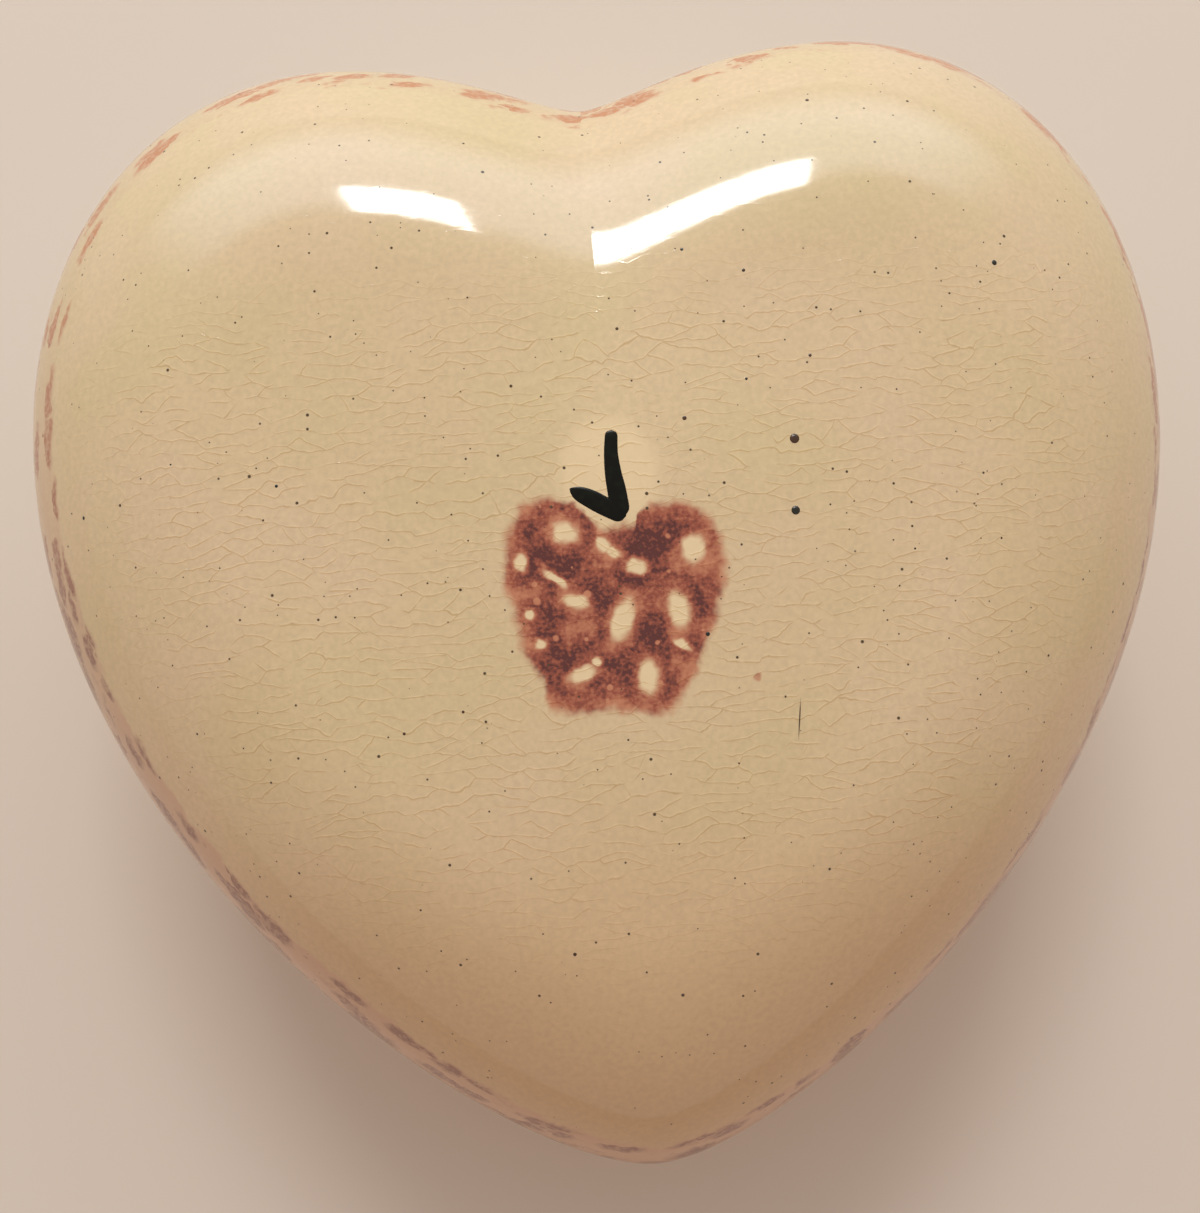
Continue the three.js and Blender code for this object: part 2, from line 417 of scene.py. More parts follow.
def shoulder_rise(inset):
    """Share of the shoulder's height that is reached at an inset."""
    left = max(0, 1 - inset / SHOULDER_WIDTH)
    return (1 - left ** SHOULDER_POWER) ** (1 / SHOULDER_ROUNDNESS)


def gap(one, other):
    """Distance along the profile between two stations."""
    heights = [
        station.height + station.domed * shoulder_rise(station.dome_inset) * SHOULDER_HEIGHT
        for station in (one, other)
    ]
    return math.hypot(one.inset - other.inset, heights[0] - heights[1])


def filled(stations):
    """The stations, with more between them where they lie more than a row's step apart."""
    rows = [stations[0]]
    for before, after in zip(stations, stations[1:]):
        count = max(1, math.ceil(gap(before, after) / ROW_STEP))
        for i in range(1, count):
            rows.append(Station(*(a + (b - a) * i / count for a, b in zip(before, after))))
        rows.append(after)
    return rows


def rounded(corners):
    """Stations along a line of corners (inset, height, radius), each rounded to its radius."""
    points = [Vector(corners[0][:2])]
    for before, (inset, height, radius), after in zip(corners, corners[1:], corners[2:]):
        corner = Vector((inset, height))
        back = (Vector(before[:2]) - corner).normalized()
        onwards = (Vector(after[:2]) - corner).normalized()
        half_angle = back.angle(onwards) / 2
        middle = corner + (back + onwards).normalized() * (radius / math.sin(half_angle))
        reach = radius / math.tan(half_angle)
        start = (corner + back * reach - middle).normalized()
        end = (corner + onwards * reach - middle).normalized()
        points += [middle + radius * start.slerp(end, i / ROUND_STEPS) for i in range(ROUND_STEPS + 1)]
    points.append(Vector(corners[-1][:2]))
    return [Station(point.x, point.y, 1, 0, 0) for point in points]


def middle_rows(height, domed, outwards):
    """Rings that shrink from the innermost inset to the middle of the heart, or grow from it."""
    rows = [
        Station(SHOULDER_WIDTH, height, i / CROWN_ROWS, domed, SHOULDER_WIDTH)
        for i in range(CROWN_ROWS + 1)
    ]
    return rows if outwards else rows[::-1]


def unroll(stations):
    """Each station's inset on the flat map, on which the profile keeps its whole length."""
    lengths = [0]
    for before, after in zip(stations, stations[1:]):
        whole = min(before.share, after.share) == 1
        lengths.append(lengths[-1] + (gap(before, after) if whole else 0))
    middle = lengths[0] if stations[0].share < 1 else lengths[-1]
    return [SHOULDER_WIDTH - abs(length - middle) for length in lengths]


def sheet(name, sides, wave_of):
    """A mesh with a row for each station and a column for each turn. Each side is its stations, and
    the corner and the share of the texture map that it fills."""
    values = {field: [] for field in SHEET_FIELDS}
    faces = []
    first = 0
    for stations, map_corner, map_share in sides:
        insets = unroll(stations)
        map_size = HEART_LENGTH - (1 + TIP_INSET_SHARE) * min(insets)
        map_middle = map_corner + map_share / 2
        for station, unrolled in zip(stations, insets):
            row = {
                **station._asdict(),
                "unrolled": unrolled,
                "wave": wave_of(station),
                "map_scale": map_share * MAP_MARGIN_SHARE / map_size,
                "map_x": map_middle,
                "map_y": map_share / 2,
            }
            for field, value in row.items():
                values[field] += [value] * COLUMNS
            values["turn"] += [column / COLUMNS for column in range(COLUMNS)]
        for row in range(len(stations) - 1):
            start = first + row * COLUMNS
            for column in range(COLUMNS):
                beside = (column + 1) % COLUMNS
                faces.append((
                    start + column, start + beside,
                    start + COLUMNS + beside, start + COLUMNS + column))
        first += len(stations) * COLUMNS
    mesh = bpy.data.meshes.new(name)
    mesh.from_pydata([(0, 0, 0)] * first, [], faces)
    for field, numbers in values.items():
        mesh.attributes.new(field, "FLOAT", "POINT").data.foreach_set("value", numbers)
    return mesh


def lid_sides():
    """The lid's stations: its ceiling and flange out to the seat, then its edge and its domed top."""
    ceiling_edge = FLANGE_INSIDE + CEILING_RADIUS
    ceiling = middle_rows(-LID_WALL, 1, outwards=True)
    ceiling.append(Station(ceiling_edge, -LID_WALL, 1, 1, ceiling_edge))
    for i in range(ROUND_STEPS):
        turn = math.pi / 2 * (i + 1) / ROUND_STEPS
        inset = ceiling_edge - CEILING_RADIUS * math.sin(turn)
        drop = CEILING_RADIUS * (1 - math.cos(turn))
        ceiling.append(Station(inset, -LID_WALL - drop, 1, 1, ceiling_edge))
    flange = rounded([
        (FLANGE_INSIDE, LID_SEAT, 0),
        (FLANGE_INSIDE, FLANGE_BOTTOM, FLANGE_ROUND),
        (FLANGE_OUTSIDE, FLANGE_BOTTOM, FLANGE_ROUND),
        (FLANGE_OUTSIDE, LID_SEAT, FLANGE_FILLET),
        (LID_EDGE_RADIUS, LID_SEAT, 0),
    ])
    edge = rounded([(LID_EDGE_RADIUS, LID_SEAT, 0), (0, LID_SEAT, LID_EDGE_RADIUS), (0, DOME_FOOT, 0)])
    insets = [SHOULDER_WIDTH * (i / SHOULDER_ROWS) ** SHOULDER_BUNCHING for i in range(SHOULDER_ROWS + 1)]
    shoulder = [Station(inset, 0, 1, 1, inset) for inset in insets]
    underside = filled([*ceiling, *flange[1:]])
    top = [*filled(edge), *shoulder[1:], *middle_rows(0, 1, outwards=False)[1:]]
    return [(underside, LID_TOP_MAP_SHARE, 1 - LID_TOP_MAP_SHARE), (top, 0, LID_TOP_MAP_SHARE)]


def base_sides():
    """The base's stations: its underside, foot and wall up to the rim, then the cavity."""
    outside = rounded([
        (SHOULDER_WIDTH, FOOT_HEIGHT, 0),
        (FOOT_INSIDE, FOOT_HEIGHT, FOOT_ROUND),
        (FOOT_INSIDE, 0, FOOT_ROUND),
        (FOOT_OUTSIDE, 0, FOOT_ROUND),
        (FOOT_OUTSIDE, FOOT_HEIGHT, FOOT_ROUND),
        (HEEL_CORNER, FOOT_HEIGHT, HEEL_RADIUS),
        (RIM_OUTSIDE, BASE_HIGH.z, RIM_ROUND),
        (RIM_MIDDLE, BASE_HIGH.z, 0),
    ])
    inside = rounded([
        (RIM_MIDDLE, BASE_HIGH.z, 0),
        (CAVITY_TOP, BASE_HIGH.z, RIM_ROUND),
        (CAVITY_CORNER, FLOOR_TOP, CAVITY_RADIUS),
        (SHOULDER_WIDTH, FLOOR_TOP, 0),
    ])
    outside = [*middle_rows(FOOT_HEIGHT, 0, outwards=True), *filled(outside)[1:]]
    inside = [*filled(inside)[:-1], *middle_rows(FLOOR_TOP, 0, outwards=False)]
    return [(outside, 0, BASE_MAP_SHARE), (inside, BASE_MAP_SHARE, 1 - BASE_MAP_SHARE)]


def casting(name, node, sides, wave_of, wave_height, seed, material):
    """One casting as a piece that stands for its CAD node."""
    piece = grow(new_piece(name, sheet(name, sides, wave_of)), CASTING_TREE, {
        **OUTLINE_SIZES,
        **DOME_SIZES,
        "Wave Height": wave_height,
        "Wave Spacing": WAVE_SPACING,
        "Seed": seed,
        "Material": material,
    })
    for field in SHEET_FIELDS:
        if field != "inset":
            piece.data.attributes.remove(piece.data.attributes[field])
    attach(piece, node)
    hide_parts(node)
    return piece


def lid_wave(station):
    """Share of the waves' height on the lid: none at its seat, all on its dome."""
    return shoulder_rise(station.dome_inset) * station.domed


def base_wave(station):
    """Share of the waves' height on the base: none at its foot and rim, all halfway up."""
    height = station.height / BASE_HIGH.z
    return 4 * height * (1 - height)


CASTING_TREE = casting_tree()

# Tint, cracks and dots of the glaze
PINKISH_CREAM = "#d5bb94"
GREENISH_CREAM = "#d1ba8d"
# Painted shade: the cream turns browner and darker towards the tip
TIP_SHADE_CREAM = "#cbab81"
TIP_SHADE_FROM = -12 * MM
TIP_SHADE_FULL_AT = -36 * MM
CRACK_STAIN = "#e0d6c6"
DOT_COLOUR = "#4b3823"
CLOUD_SPACING = 16 * MM
CLOUD_SHARES = (0.35, 0.65)
GRAIN_SPACING = 0.55 * MM
GRAIN_SHARES = (0.25, 0.75)
GRAIN_LEVEL_SHARES = (0.94, 1.06)
PEEL_SPACING = 2.6 * MM
PEEL_HEIGHT = 0.006 * MM
CRAZE_CELL = (3 * MM, 1.15 * MM, 1.15 * MM)
CRAZE_WANDER = ((7 * MM, 1.5 * MM), (1.4 * MM, 0.32 * MM), (0.5 * MM, 0.06 * MM))
CRACK_WIDTH = 0.095 * MM
LIP_WIDTH = 0.2 * MM
LIP_HEIGHT = 0.011 * MM
# The crack lips are painted lighter: a painted highlight where the raised lips catch the light
LIP_PAINTED_HIGHLIGHT_SHARE = 0.1
CRACK_BREAK_SPACING = 2.4 * MM
CRACK_BREAK_SHARES = (0.34, 0.52)
UPRIGHT_FULL_SHARE = 0.6
UPRIGHT_GONE_SHARE = 0.95
CRAZE_LEAST_SHARE = 0.1
DOT_SPACING = 1.4 * MM
DOT_RADII = (0.08 * MM, 0.17 * MM)
DOT_SMALLNESS = 3
DOT_RIM_SHARES = (0.7, 1.2)
DOT_CHANCE_SHARE = 0.9

# Where the crazing is weakest and where it is full: in from the edge, up from the tip, down from the top
CRAZE_FADES = ((6 * MM, 16 * MM), (-36 * MM, -20 * MM), (32 * MM, 25 * MM))

# The sponged apple: its outline round its middle, and how its edge is torn and softened
APPLE_MIDDLE = (-0.3 * MM, 0.3 * MM, 0)
APPLE_REACH = 15 * MM
APPLE_OUTLINE = [(x * MM, y * MM) for x, y in (
    (-9.9, 0.3), (-9.6, -2), (-9.3, -3.8), (-7.6, -6.4), (-7.3, -9.2), (-1.6, -9.5), (4.1, -9.9),
    (5.8, -7.2), (7.4, -3.7), (8.8, -0.4), (9.5, 3), (9.3, 5.6), (8.3, 7.4), (6, 8.8), (3.1, 8.6),
    (2.2, 7.9), (1.7, 6.9), (0.1, 7.1), (-1.4, 6.8), (-2.5, 8.1), (-4, 9.2), (-5.6, 9.9), (-8.8, 9.2),
    (-10.3, 6.2), (-10.4, 3.2), (-9.9, 0.3))]
APPLE_TEARS = ((2.6 * MM, 0.6 * MM), (0.7 * MM, 0.32 * MM))
APPLE_SOFT_EDGE = 0.85 * MM
APPLE_BLEED = APPLE_SOFT_EDGE / 3
APPLE_PALE_EDGE = 2.2 * MM
APPLE_EDGE_LEAST_SHARE = 0.35
INK_PALE = "#c88661"
INK_MIDDLE = "#994d37"
INK_DARK = "#57201f"
INK_MIDDLE_SHARE = 0.5
INK_PATCH_SPACING = 3.6 * MM
INK_PATCH_ROUGHNESS = 0.6
INK_PATCH_SHARES = (0.36, 0.6)
INK_PATCH_LEVEL_SHARES = (0.25, 1.15)
INK_GRAIN_SPACING = 0.35 * MM
INK_GRAIN_SHARES = (0.3, 0.7)
INK_GRAIN_LEVEL_SHARES = (0.6, 1.35)
HALO_COLOUR = "#ead1a3"

# Marks on the lid: the pores that the sponge left bare, a stray dab, a scratch, the wiped spot
Blot = namedtuple("Blot", "x y half_width half_height turn")
PORES = [Blot(x * MM, y * MM, wide * MM, high * MM, math.radians(turn)) for x, y, wide, high, turn in (
    (-4.7, 6.6, 1.15, 1.1, 0), (-1.4, 5.2, 0.65, 0.8, 15), (-0.6, 4.4, 0.75, 0.5, -35),
    (1.3, 3.1, 0.9, 0.6, 0), (6.5, 4.4, 1.1, 1.35, -10), (-4.2, 0.4, 1.1, 0.75, -15),
    (-0.2, -1.5, 0.95, 2, -22), (4.9, -1, 1, 1.7, 10), (-4.1, -6, 1.3, 0.7, 28), (1.7, -6.6, 1, 1.6, 0),
    (-8.8, 4.2, 0.55, 0.75, 0), (-5.8, 2.5, 0.4, 1.3, 42), (-7.6, -3.1, 0.5, 0.5, 0),
    (4.9, -4.1, 0.9, 0.35, -40), (-2.7, -4.9, 0.5, 0.4, 0), (-8.3, -0.4, 0.4, 0.4, 0))]
PORE_TEARS = ((1.3 * MM, 0.4 * MM), (0.5 * MM, 0.12 * MM))
PORE_RIM_SHARES = (0.6, 1.2)
PORE_FADE_SHARES = (0.9, 1.9)
PORE_LEAST_SHARE = 0.15
PORE_PALENESS_SHARE = 0.7
SMALL_PORE_SPACING = 1.5 * MM
SMALL_PORE_RADII = (0.1 * MM, 0.42 * MM)
SMALL_PORE_CHANCE_SHARE = 0.75
SMALL_PORE_PALENESS_SHARE = 0.8
STRAY_DAB = Blot(11.35 * MM, -7.49 * MM, 0.42 * MM, 0.42 * MM, 0)
STRAY_DAB_RIM_SHARES = (0.8, 1.2)
STRAY_DAB_COVER_SHARE = 0.7
SCRATCH = Blot(14.82 * MM, -11.39 * MM, 0.07 * MM, 1.7 * MM, math.radians(-7))
SCRATCH_RIM_SHARES = (0.6, 1.2)
WIPED_SPOT = Blot(-0.4 * MM, 11.6 * MM, 4.7 * MM, 5.4 * MM, 0)
WIPED_RIM_SHARES = (0.7, 1.15)
WIPED_COVER_SHARE = 0.55

# The sponged band
BAND_LEFT_WIDTH = 4.6 * MM
BAND_RIGHT_WIDTH = 2.9 * MM
BAND_NARROWING = 30 * MM
BAND_TEAR_SPACING = 3 * MM
BAND_TEAR = 2.4 * MM
BAND_SOFT_EDGE = 0.7 * MM
BAND_WASH = "#c69a7e"
BAND_WASH_SHARES = (0.7, 0.12)
BAND_WASH_FADES = (-8 * MM, 28 * MM)
DAB_UPPER = "#bb7549"
DAB_LOWER = "#8a5646"
DAB_TEARS = ((1.3 * MM, 0.6 * MM), (0.5 * MM, 0.15 * MM))
DAB_ROUND_RADIUS = 45 * MM
DAB_SHORTENING_SHARE = 0.45
DAB_SHORT_RADIUS = DAB_ROUND_RADIUS * DAB_SHORTENING_SHARE
DAB_SPACING = 2 * MM
DAB_RADII = (1 * MM, 1.75 * MM)
DAB_CHANCE_SHARE = 0.7
DAB_UPPER_FULL_AT = HEART_LENGTH / 3
DAB_GRAIN_SPACING = 0.6 * MM
DAB_GRAIN_SHARES = (0.3, 0.55)
DAB_GRAIN_LEVEL_SHARES = (0.7, 1)
DAB_COVER_SHARE = 0.9
BASE_BAND_WIDTH = 2.6 * MM

# Gloss of the glaze, and bare clay where the pieces meet each other and the kiln shelf
CLAY_COLOUR = "#e0cdae"
CLAY_ROUGHNESS = 0.85
CLAY_GRAIN_SPACING = 0.4 * MM
CLAY_GRAIN_HEIGHT = 0.02 * MM
GLAZE_ROUGHNESS = 0.08
GLAZE_IOR = 1.6
GLAZE_THICKNESS = 0.15 * MM
GLAZE_LINE_SPACING = 7 * MM
GLAZE_LINE_WAVE = 0.4 * MM
BARE_SEAT_HEIGHT = 0.3 * MM
BARE_FLANGE_HEIGHT = 1.2 * MM
BARE_FOOT_HEIGHT = 0.7 * MM
BARE_RIM_HEIGHT = 0.15 * MM


def new_material(name):
    """A material, its tree, and the place on the object that its patterns follow."""
    material = bpy.data.materials.new(name)
    material.use_nodes = True
    place = material.node_tree.nodes.new("ShaderNodeTexCoord").outputs["Object"]
    return material, material.node_tree, place


def finish_material(material, sockets, numbers):
    """Links sockets to a material's shader, and sets the numbers that are the same all over it."""
    shader = material.node_tree.nodes["Principled BSDF"]
    for name, socket in sockets.items():
        material.node_tree.links.new(socket, shader.inputs[name])
    for name, number in numbers.items():
        shader.inputs[name].default_value = number
    return material


def wander(tree, place, waves):
    """The place, moved to and fro by waves of a spacing and a reach."""
    for spacing, reach in waves:
        noise = add(tree, "ShaderNodeTexNoise", {"Vector": place, "Scale": 1 / spacing, "Detail": 1})
        way = add(
            tree, "ShaderNodeVectorMath", {0: noise.node.outputs["Color"], 1: (0.5, 0.5, 0.5)},
            operation="SUBTRACT")
        swing = add(tree, "ShaderNodeVectorMath", {0: way, "Scale": 2 * reach}, operation="SCALE")
        place = add(tree, "ShaderNodeVectorMath", {0: place, 1: swing}, operation="ADD")
    return place


def mottle(tree, place, spacing, detail, shares, levels=(0, 1), interpolation="LINEAR", roughness=0.5):
    """A level that wavers over the surface: noise of a spacing, spread between two of its shares."""
    noise = add(
        tree, "ShaderNodeTexNoise",
        {"Vector": place, "Scale": 1 / spacing, "Detail": detail, "Roughness": roughness})
    return add(
        tree, "ShaderNodeMapRange",
        {"Value": noise, "From Min": shares[0], "From Max": shares[1],
         "To Min": levels[0], "To Max": levels[1]},
        interpolation_type=interpolation)


def distance_from_blot(tree, place, blot):
    """How far out a place is from a blot's middle, where 1 is its rim."""
    fitted = add(
        tree, "ShaderNodeMapping",
        {"Vector": place, "Location": (blot.x, blot.y, 0), "Rotation": (0, 0, blot.turn),
         "Scale": (blot.half_width, blot.half_height, 1)},
        vector_type="TEXTURE")
    return add(tree, "ShaderNodeVectorMath", {0: fitted}, operation="LENGTH")


def blot_cover(tree, place, blot, rim_shares, most, interpolation="LINEAR"):
    """How much a blot covers a place: the most it does inside its rim, and nothing outside."""
    out = distance_from_blot(tree, place, blot)
    return add(
        tree, "ShaderNodeMapRange",
        {"Value": out, "From Min": rim_shares[1], "From Max": rim_shares[0], "To Max": most},
        interpolation_type=interpolation)


def strewn_dots(tree, place, spacing, radii, chance):
    """Share of a dot at each place: round dots of random size in some of the cells of a spacing."""
    nearest = add(tree, "ShaderNodeTexVoronoi", {"Vector": place, "Scale": 1 / spacing})
    draws = add(tree, "ShaderNodeSeparateXYZ", {0: nearest.node.outputs["Color"]}).node.outputs
    mostly_small = add(tree, "ShaderNodeMath", {0: draws[0], 1: DOT_SMALLNESS}, operation="POWER")
    radius = add(
        tree, "ShaderNodeMapRange",
        {"Value": mostly_small, "To Min": radii[0] / spacing, "To Max": radii[1] / spacing})
    out = add(tree, "ShaderNodeMath", {0: nearest, 1: radius}, operation="DIVIDE")
    dot = add(
        tree, "ShaderNodeMapRange",
        {"Value": out, "From Min": DOT_RIM_SHARES[1], "From Max": DOT_RIM_SHARES[0]},
        interpolation_type="SMOOTHSTEP")
    chosen = add(tree, "ShaderNodeMath", {0: draws[1], 1: chance}, operation="LESS_THAN")
    return add(tree, "ShaderNodeMath", {0: dot, 1: chosen}, operation="MULTIPLY")


def crack_distance(tree, place, dimensions):
    """Distance to the nearest crack of the glaze, and how nearly that crack runs across the heart. The
    cracks are the borders of long flat cells, so the distance is brought back from the stretched
    space that the cells are drawn in."""
    stretching = tuple(1 / size for size in CRAZE_CELL)
    flowing = wander(tree, place, CRAZE_WANDER)
    cells = add(tree, "ShaderNodeVectorMath", {0: flowing, 1: stretching}, operation="MULTIPLY")
    near, second = (
        add(tree, "ShaderNodeTexVoronoi", {"Vector": cells, "Scale": 1},
            voronoi_dimensions=dimensions, feature=feature)
        for feature in ("F1", "F2"))
    near_square = add(tree, "ShaderNodeMath", {0: near, 1: 2}, operation="POWER")
    second_square = add(tree, "ShaderNodeMath", {0: second, 1: 2}, operation="POWER")
    difference = add(tree, "ShaderNodeMath", {0: second_square, 1: near_square}, operation="SUBTRACT")
    across = add(
        tree, "ShaderNodeVectorMath",
        {0: second.node.outputs["Position"], 1: near.node.outputs["Position"]}, operation="SUBTRACT")
    slope = add(tree, "ShaderNodeVectorMath", {0: across, 1: stretching}, operation="MULTIPLY")
    steepness = add(tree, "ShaderNodeVectorMath", {0: slope}, operation="LENGTH")
    doubled = add(tree, "ShaderNodeMath", {0: steepness, 1: 2}, operation="MULTIPLY")
    distance = add(tree, "ShaderNodeMath", {0: difference, 1: doubled}, operation="DIVIDE")
    sideways = add(tree, "ShaderNodeSeparateXYZ", {0: slope}).node.outputs[0]
    tilt = add(tree, "ShaderNodeMath", {0: sideways, 1: steepness}, operation="DIVIDE")
    upright = add(tree, "ShaderNodeMath", {0: tilt}, operation="ABSOLUTE")
    crosswise = add(
        tree, "ShaderNodeMapRange",
        {"Value": upright, "From Min": UPRIGHT_GONE_SHARE, "From Max": UPRIGHT_FULL_SHARE},
        interpolation_type="SMOOTHSTEP")
    return distance, crosswise


def crazing(tree, place, inset, dimensions):
    """Share of a crack line and of its raised lip, broken here and there and weaker towards the edge,
    the tip and the tops of the lobes, where the glaze ran thin."""
    distance, crosswise = crack_distance(tree, place, dimensions)
    kept = mottle(tree, place, CRACK_BREAK_SPACING, 2, CRACK_BREAK_SHARES, interpolation="SMOOTHSTEP")
    strength = add(tree, "ShaderNodeMath", {0: kept, 1: crosswise}, operation="MULTIPLY")
    along = add(tree, "ShaderNodeSeparateXYZ", {0: place}).node.outputs[1]
    for way, (weakest_at, full_at) in zip((inset, along, along), CRAZE_FADES):
        share = add(
            tree, "ShaderNodeMapRange",
            {"Value": way, "From Min": weakest_at, "From Max": full_at, "To Min": CRAZE_LEAST_SHARE})
        strength = add(tree, "ShaderNodeMath", {0: strength, 1: share}, operation="MULTIPLY")
    shown = []
    for width in (CRACK_WIDTH, LIP_WIDTH):
        near = add(
            tree, "ShaderNodeMapRange", {"Value": distance, "From Min": width, "From Max": 0},
            interpolation_type="SMOOTHSTEP")
        shown.append(add(tree, "ShaderNodeMath", {0: near, 1: strength}, operation="MULTIPLY"))
    return shown


def glaze_tint(tree, place):
    """Cream of a clear glaze over buff clay, cloudy between two tints, browner and darker towards the tip
    as a painted shade, with a fine grain."""
    share = mottle(tree, place, CLOUD_SPACING, 2, CLOUD_SHARES)
    cream = add(
        tree, "ShaderNodeMix",
        {"Factor": share, "A": colour(PINKISH_CREAM), "B": colour(GREENISH_CREAM)}, data_type="RGBA")
    # Painted shade: the cream is mixed towards a browner, darker tone nearer the tip
    along = add(tree, "ShaderNodeSeparateXYZ", {0: place}).node.outputs[1]
    tipwards = add(
        tree, "ShaderNodeMapRange",
        {"Value": along, "From Min": TIP_SHADE_FROM, "From Max": TIP_SHADE_FULL_AT},
        interpolation_type="SMOOTHSTEP")
    tip_shaded = add(
        tree, "ShaderNodeMix", {"Factor": tipwards, "A": cream, "B": colour(TIP_SHADE_CREAM)},
        data_type="RGBA")
    level = mottle(tree, place, GRAIN_SPACING, 2, GRAIN_SHARES, GRAIN_LEVEL_SHARES)
    return add(tree, "ShaderNodeVectorMath", {0: tip_shaded, "Scale": level}, operation="SCALE")


def depth_in_apple(tree, place):
    """How far a place lies inside the apple's edge, which is drawn as a radius for each turn."""
    about = add(tree, "ShaderNodeVectorMath", {0: place, 1: APPLE_MIDDLE}, operation="SUBTRACT")
    torn = wander(tree, about, APPLE_TEARS)
    flat = add(tree, "ShaderNodeVectorMath", {0: torn, 1: (1, 1, 0)}, operation="MULTIPLY")
    sides = add(tree, "ShaderNodeSeparateXYZ", {0: flat}).node.outputs
    angle = add(tree, "ShaderNodeMath", {0: sides[1], 1: sides[0]}, operation="ARCTAN2")
    turn = add(tree, "ShaderNodeMath", {0: angle, 1: 1 / math.tau, 2: 0.5}, operation="MULTIPLY_ADD")
    curve = add(tree, "ShaderNodeFloatCurve", {"Value": turn})
    points = curve.node.mapping.curves[0].points
    for i, (x, y) in enumerate(APPLE_OUTLINE):
        right, up = x - APPLE_MIDDLE[0], y - APPLE_MIDDLE[1]
        at_end = i in (0, len(APPLE_OUTLINE) - 1)
        turn_share = i / (len(APPLE_OUTLINE) - 1) if at_end else math.atan2(up, right) / math.tau + 0.5
        point = points[i] if i < 2 else points.new(0, 0)
        point.location = (turn_share, math.hypot(right, up) / APPLE_REACH)
        point.handle_type = "VECTOR"
    curve.node.mapping.update()
    edge = add(tree, "ShaderNodeMath", {0: curve, 1: APPLE_REACH}, operation="MULTIPLY")
    out = add(tree, "ShaderNodeVectorMath", {0: flat}, operation="LENGTH")
    return add(tree, "ShaderNodeMath", {0: edge, 1: out}, operation="SUBTRACT")


def sponged_apple(tree, place):
    """The apple's layers, each a colour and how much of it covers the clay: one press of a cut sponge,
    darkest where it pressed hardest, pale at its edge and round each pore, and the bare pale pores."""
    depth = depth_in_apple(tree, place)
    covered = add(
        tree, "ShaderNodeMapRange",
        {"Value": depth, "From Min": -APPLE_BLEED, "From Max": APPLE_SOFT_EDGE},
        interpolation_type="SMOOTHSTEP")
    edge_level = add(
        tree, "ShaderNodeMapRange",
        {"Value": depth, "From Max": APPLE_PALE_EDGE, "To Min": APPLE_EDGE_LEAST_SHARE})

    torn = wander(tree, place, PORE_TEARS)
    flat = add(tree, "ShaderNodeVectorMath", {0: torn, 1: (1, 1, 0)}, operation="MULTIPLY")
    nearest = distance_from_blot(tree, flat, PORES[0])
    for pore in PORES[1:]:
        out = distance_from_blot(tree, flat, pore)
        nearest = add(tree, "ShaderNodeMath", {0: nearest, 1: out}, operation="MINIMUM")
    beyond_pore = add(
        tree, "ShaderNodeMapRange",
        {"Value": nearest, "From Min": PORE_RIM_SHARES[0], "From Max": PORE_RIM_SHARES[1]},
        interpolation_type="SMOOTHSTEP")
    pore_level = add(
        tree, "ShaderNodeMapRange",
        {"Value": nearest, "From Min": PORE_FADE_SHARES[0], "From Max": PORE_FADE_SHARES[1],
         "To Min": PORE_LEAST_SHARE})
    small = strewn_dots(tree, place, SMALL_PORE_SPACING, SMALL_PORE_RADII, SMALL_PORE_CHANCE_SHARE)
    small_level = add(
        tree, "ShaderNodeMath", {0: small, 1: -SMALL_PORE_PALENESS_SHARE, 2: 1}, operation="MULTIPLY_ADD")

    density = mottle(
        tree, place, INK_PATCH_SPACING, 3, INK_PATCH_SHARES, INK_PATCH_LEVEL_SHARES,
        roughness=INK_PATCH_ROUGHNESS)
    grain_level = mottle(tree, place, INK_GRAIN_SPACING, 1, INK_GRAIN_SHARES, INK_GRAIN_LEVEL_SHARES)
    for level in (edge_level, pore_level, small_level, grain_level):
        density = add(tree, "ShaderNodeMath", {0: density, 1: level}, operation="MULTIPLY")
    lighter = add(
        tree, "ShaderNodeMix",
        {"Factor": add(tree, "ShaderNodeMath", {0: density, 1: INK_MIDDLE_SHARE}, operation="DIVIDE"),
         "A": colour(INK_PALE), "B": colour(INK_MIDDLE)}, data_type="RGBA")
    darker = add(
        tree, "ShaderNodeMapRange", {"Value": density, "From Min": INK_MIDDLE_SHARE, "From Max": 1})
    ink = add(
        tree, "ShaderNodeMix", {"Factor": darker, "A": lighter, "B": colour(INK_DARK)}, data_type="RGBA")

    cover = add(tree, "ShaderNodeMath", {0: covered, 1: beyond_pore}, operation="MULTIPLY")
    dab = blot_cover(tree, flat, STRAY_DAB, STRAY_DAB_RIM_SHARES, STRAY_DAB_COVER_SHARE)
    either = add(tree, "ShaderNodeMath", {0: cover, 1: dab}, operation="MAXIMUM")
    height = add(tree, "ShaderNodeSeparateXYZ", {0: place}).node.outputs[2]
    on_top = add(
        tree, "ShaderNodeMath", {0: height, 1: LID_HIGH.z - LID_WALL / 2}, operation="GREATER_THAN")
    inked = add(tree, "ShaderNodeMath", {0: either, 1: on_top}, operation="MULTIPLY")
    open_pore = add(tree, "ShaderNodeMath", {0: covered, 1: cover}, operation="SUBTRACT")
    paled = add(tree, "ShaderNodeMath", {0: open_pore, 1: PORE_PALENESS_SHARE}, operation="MULTIPLY")
    pale = add(tree, "ShaderNodeMath", {0: paled, 1: on_top}, operation="MULTIPLY")
    return [(colour(HALO_COLOUR), pale), (ink, inked)]


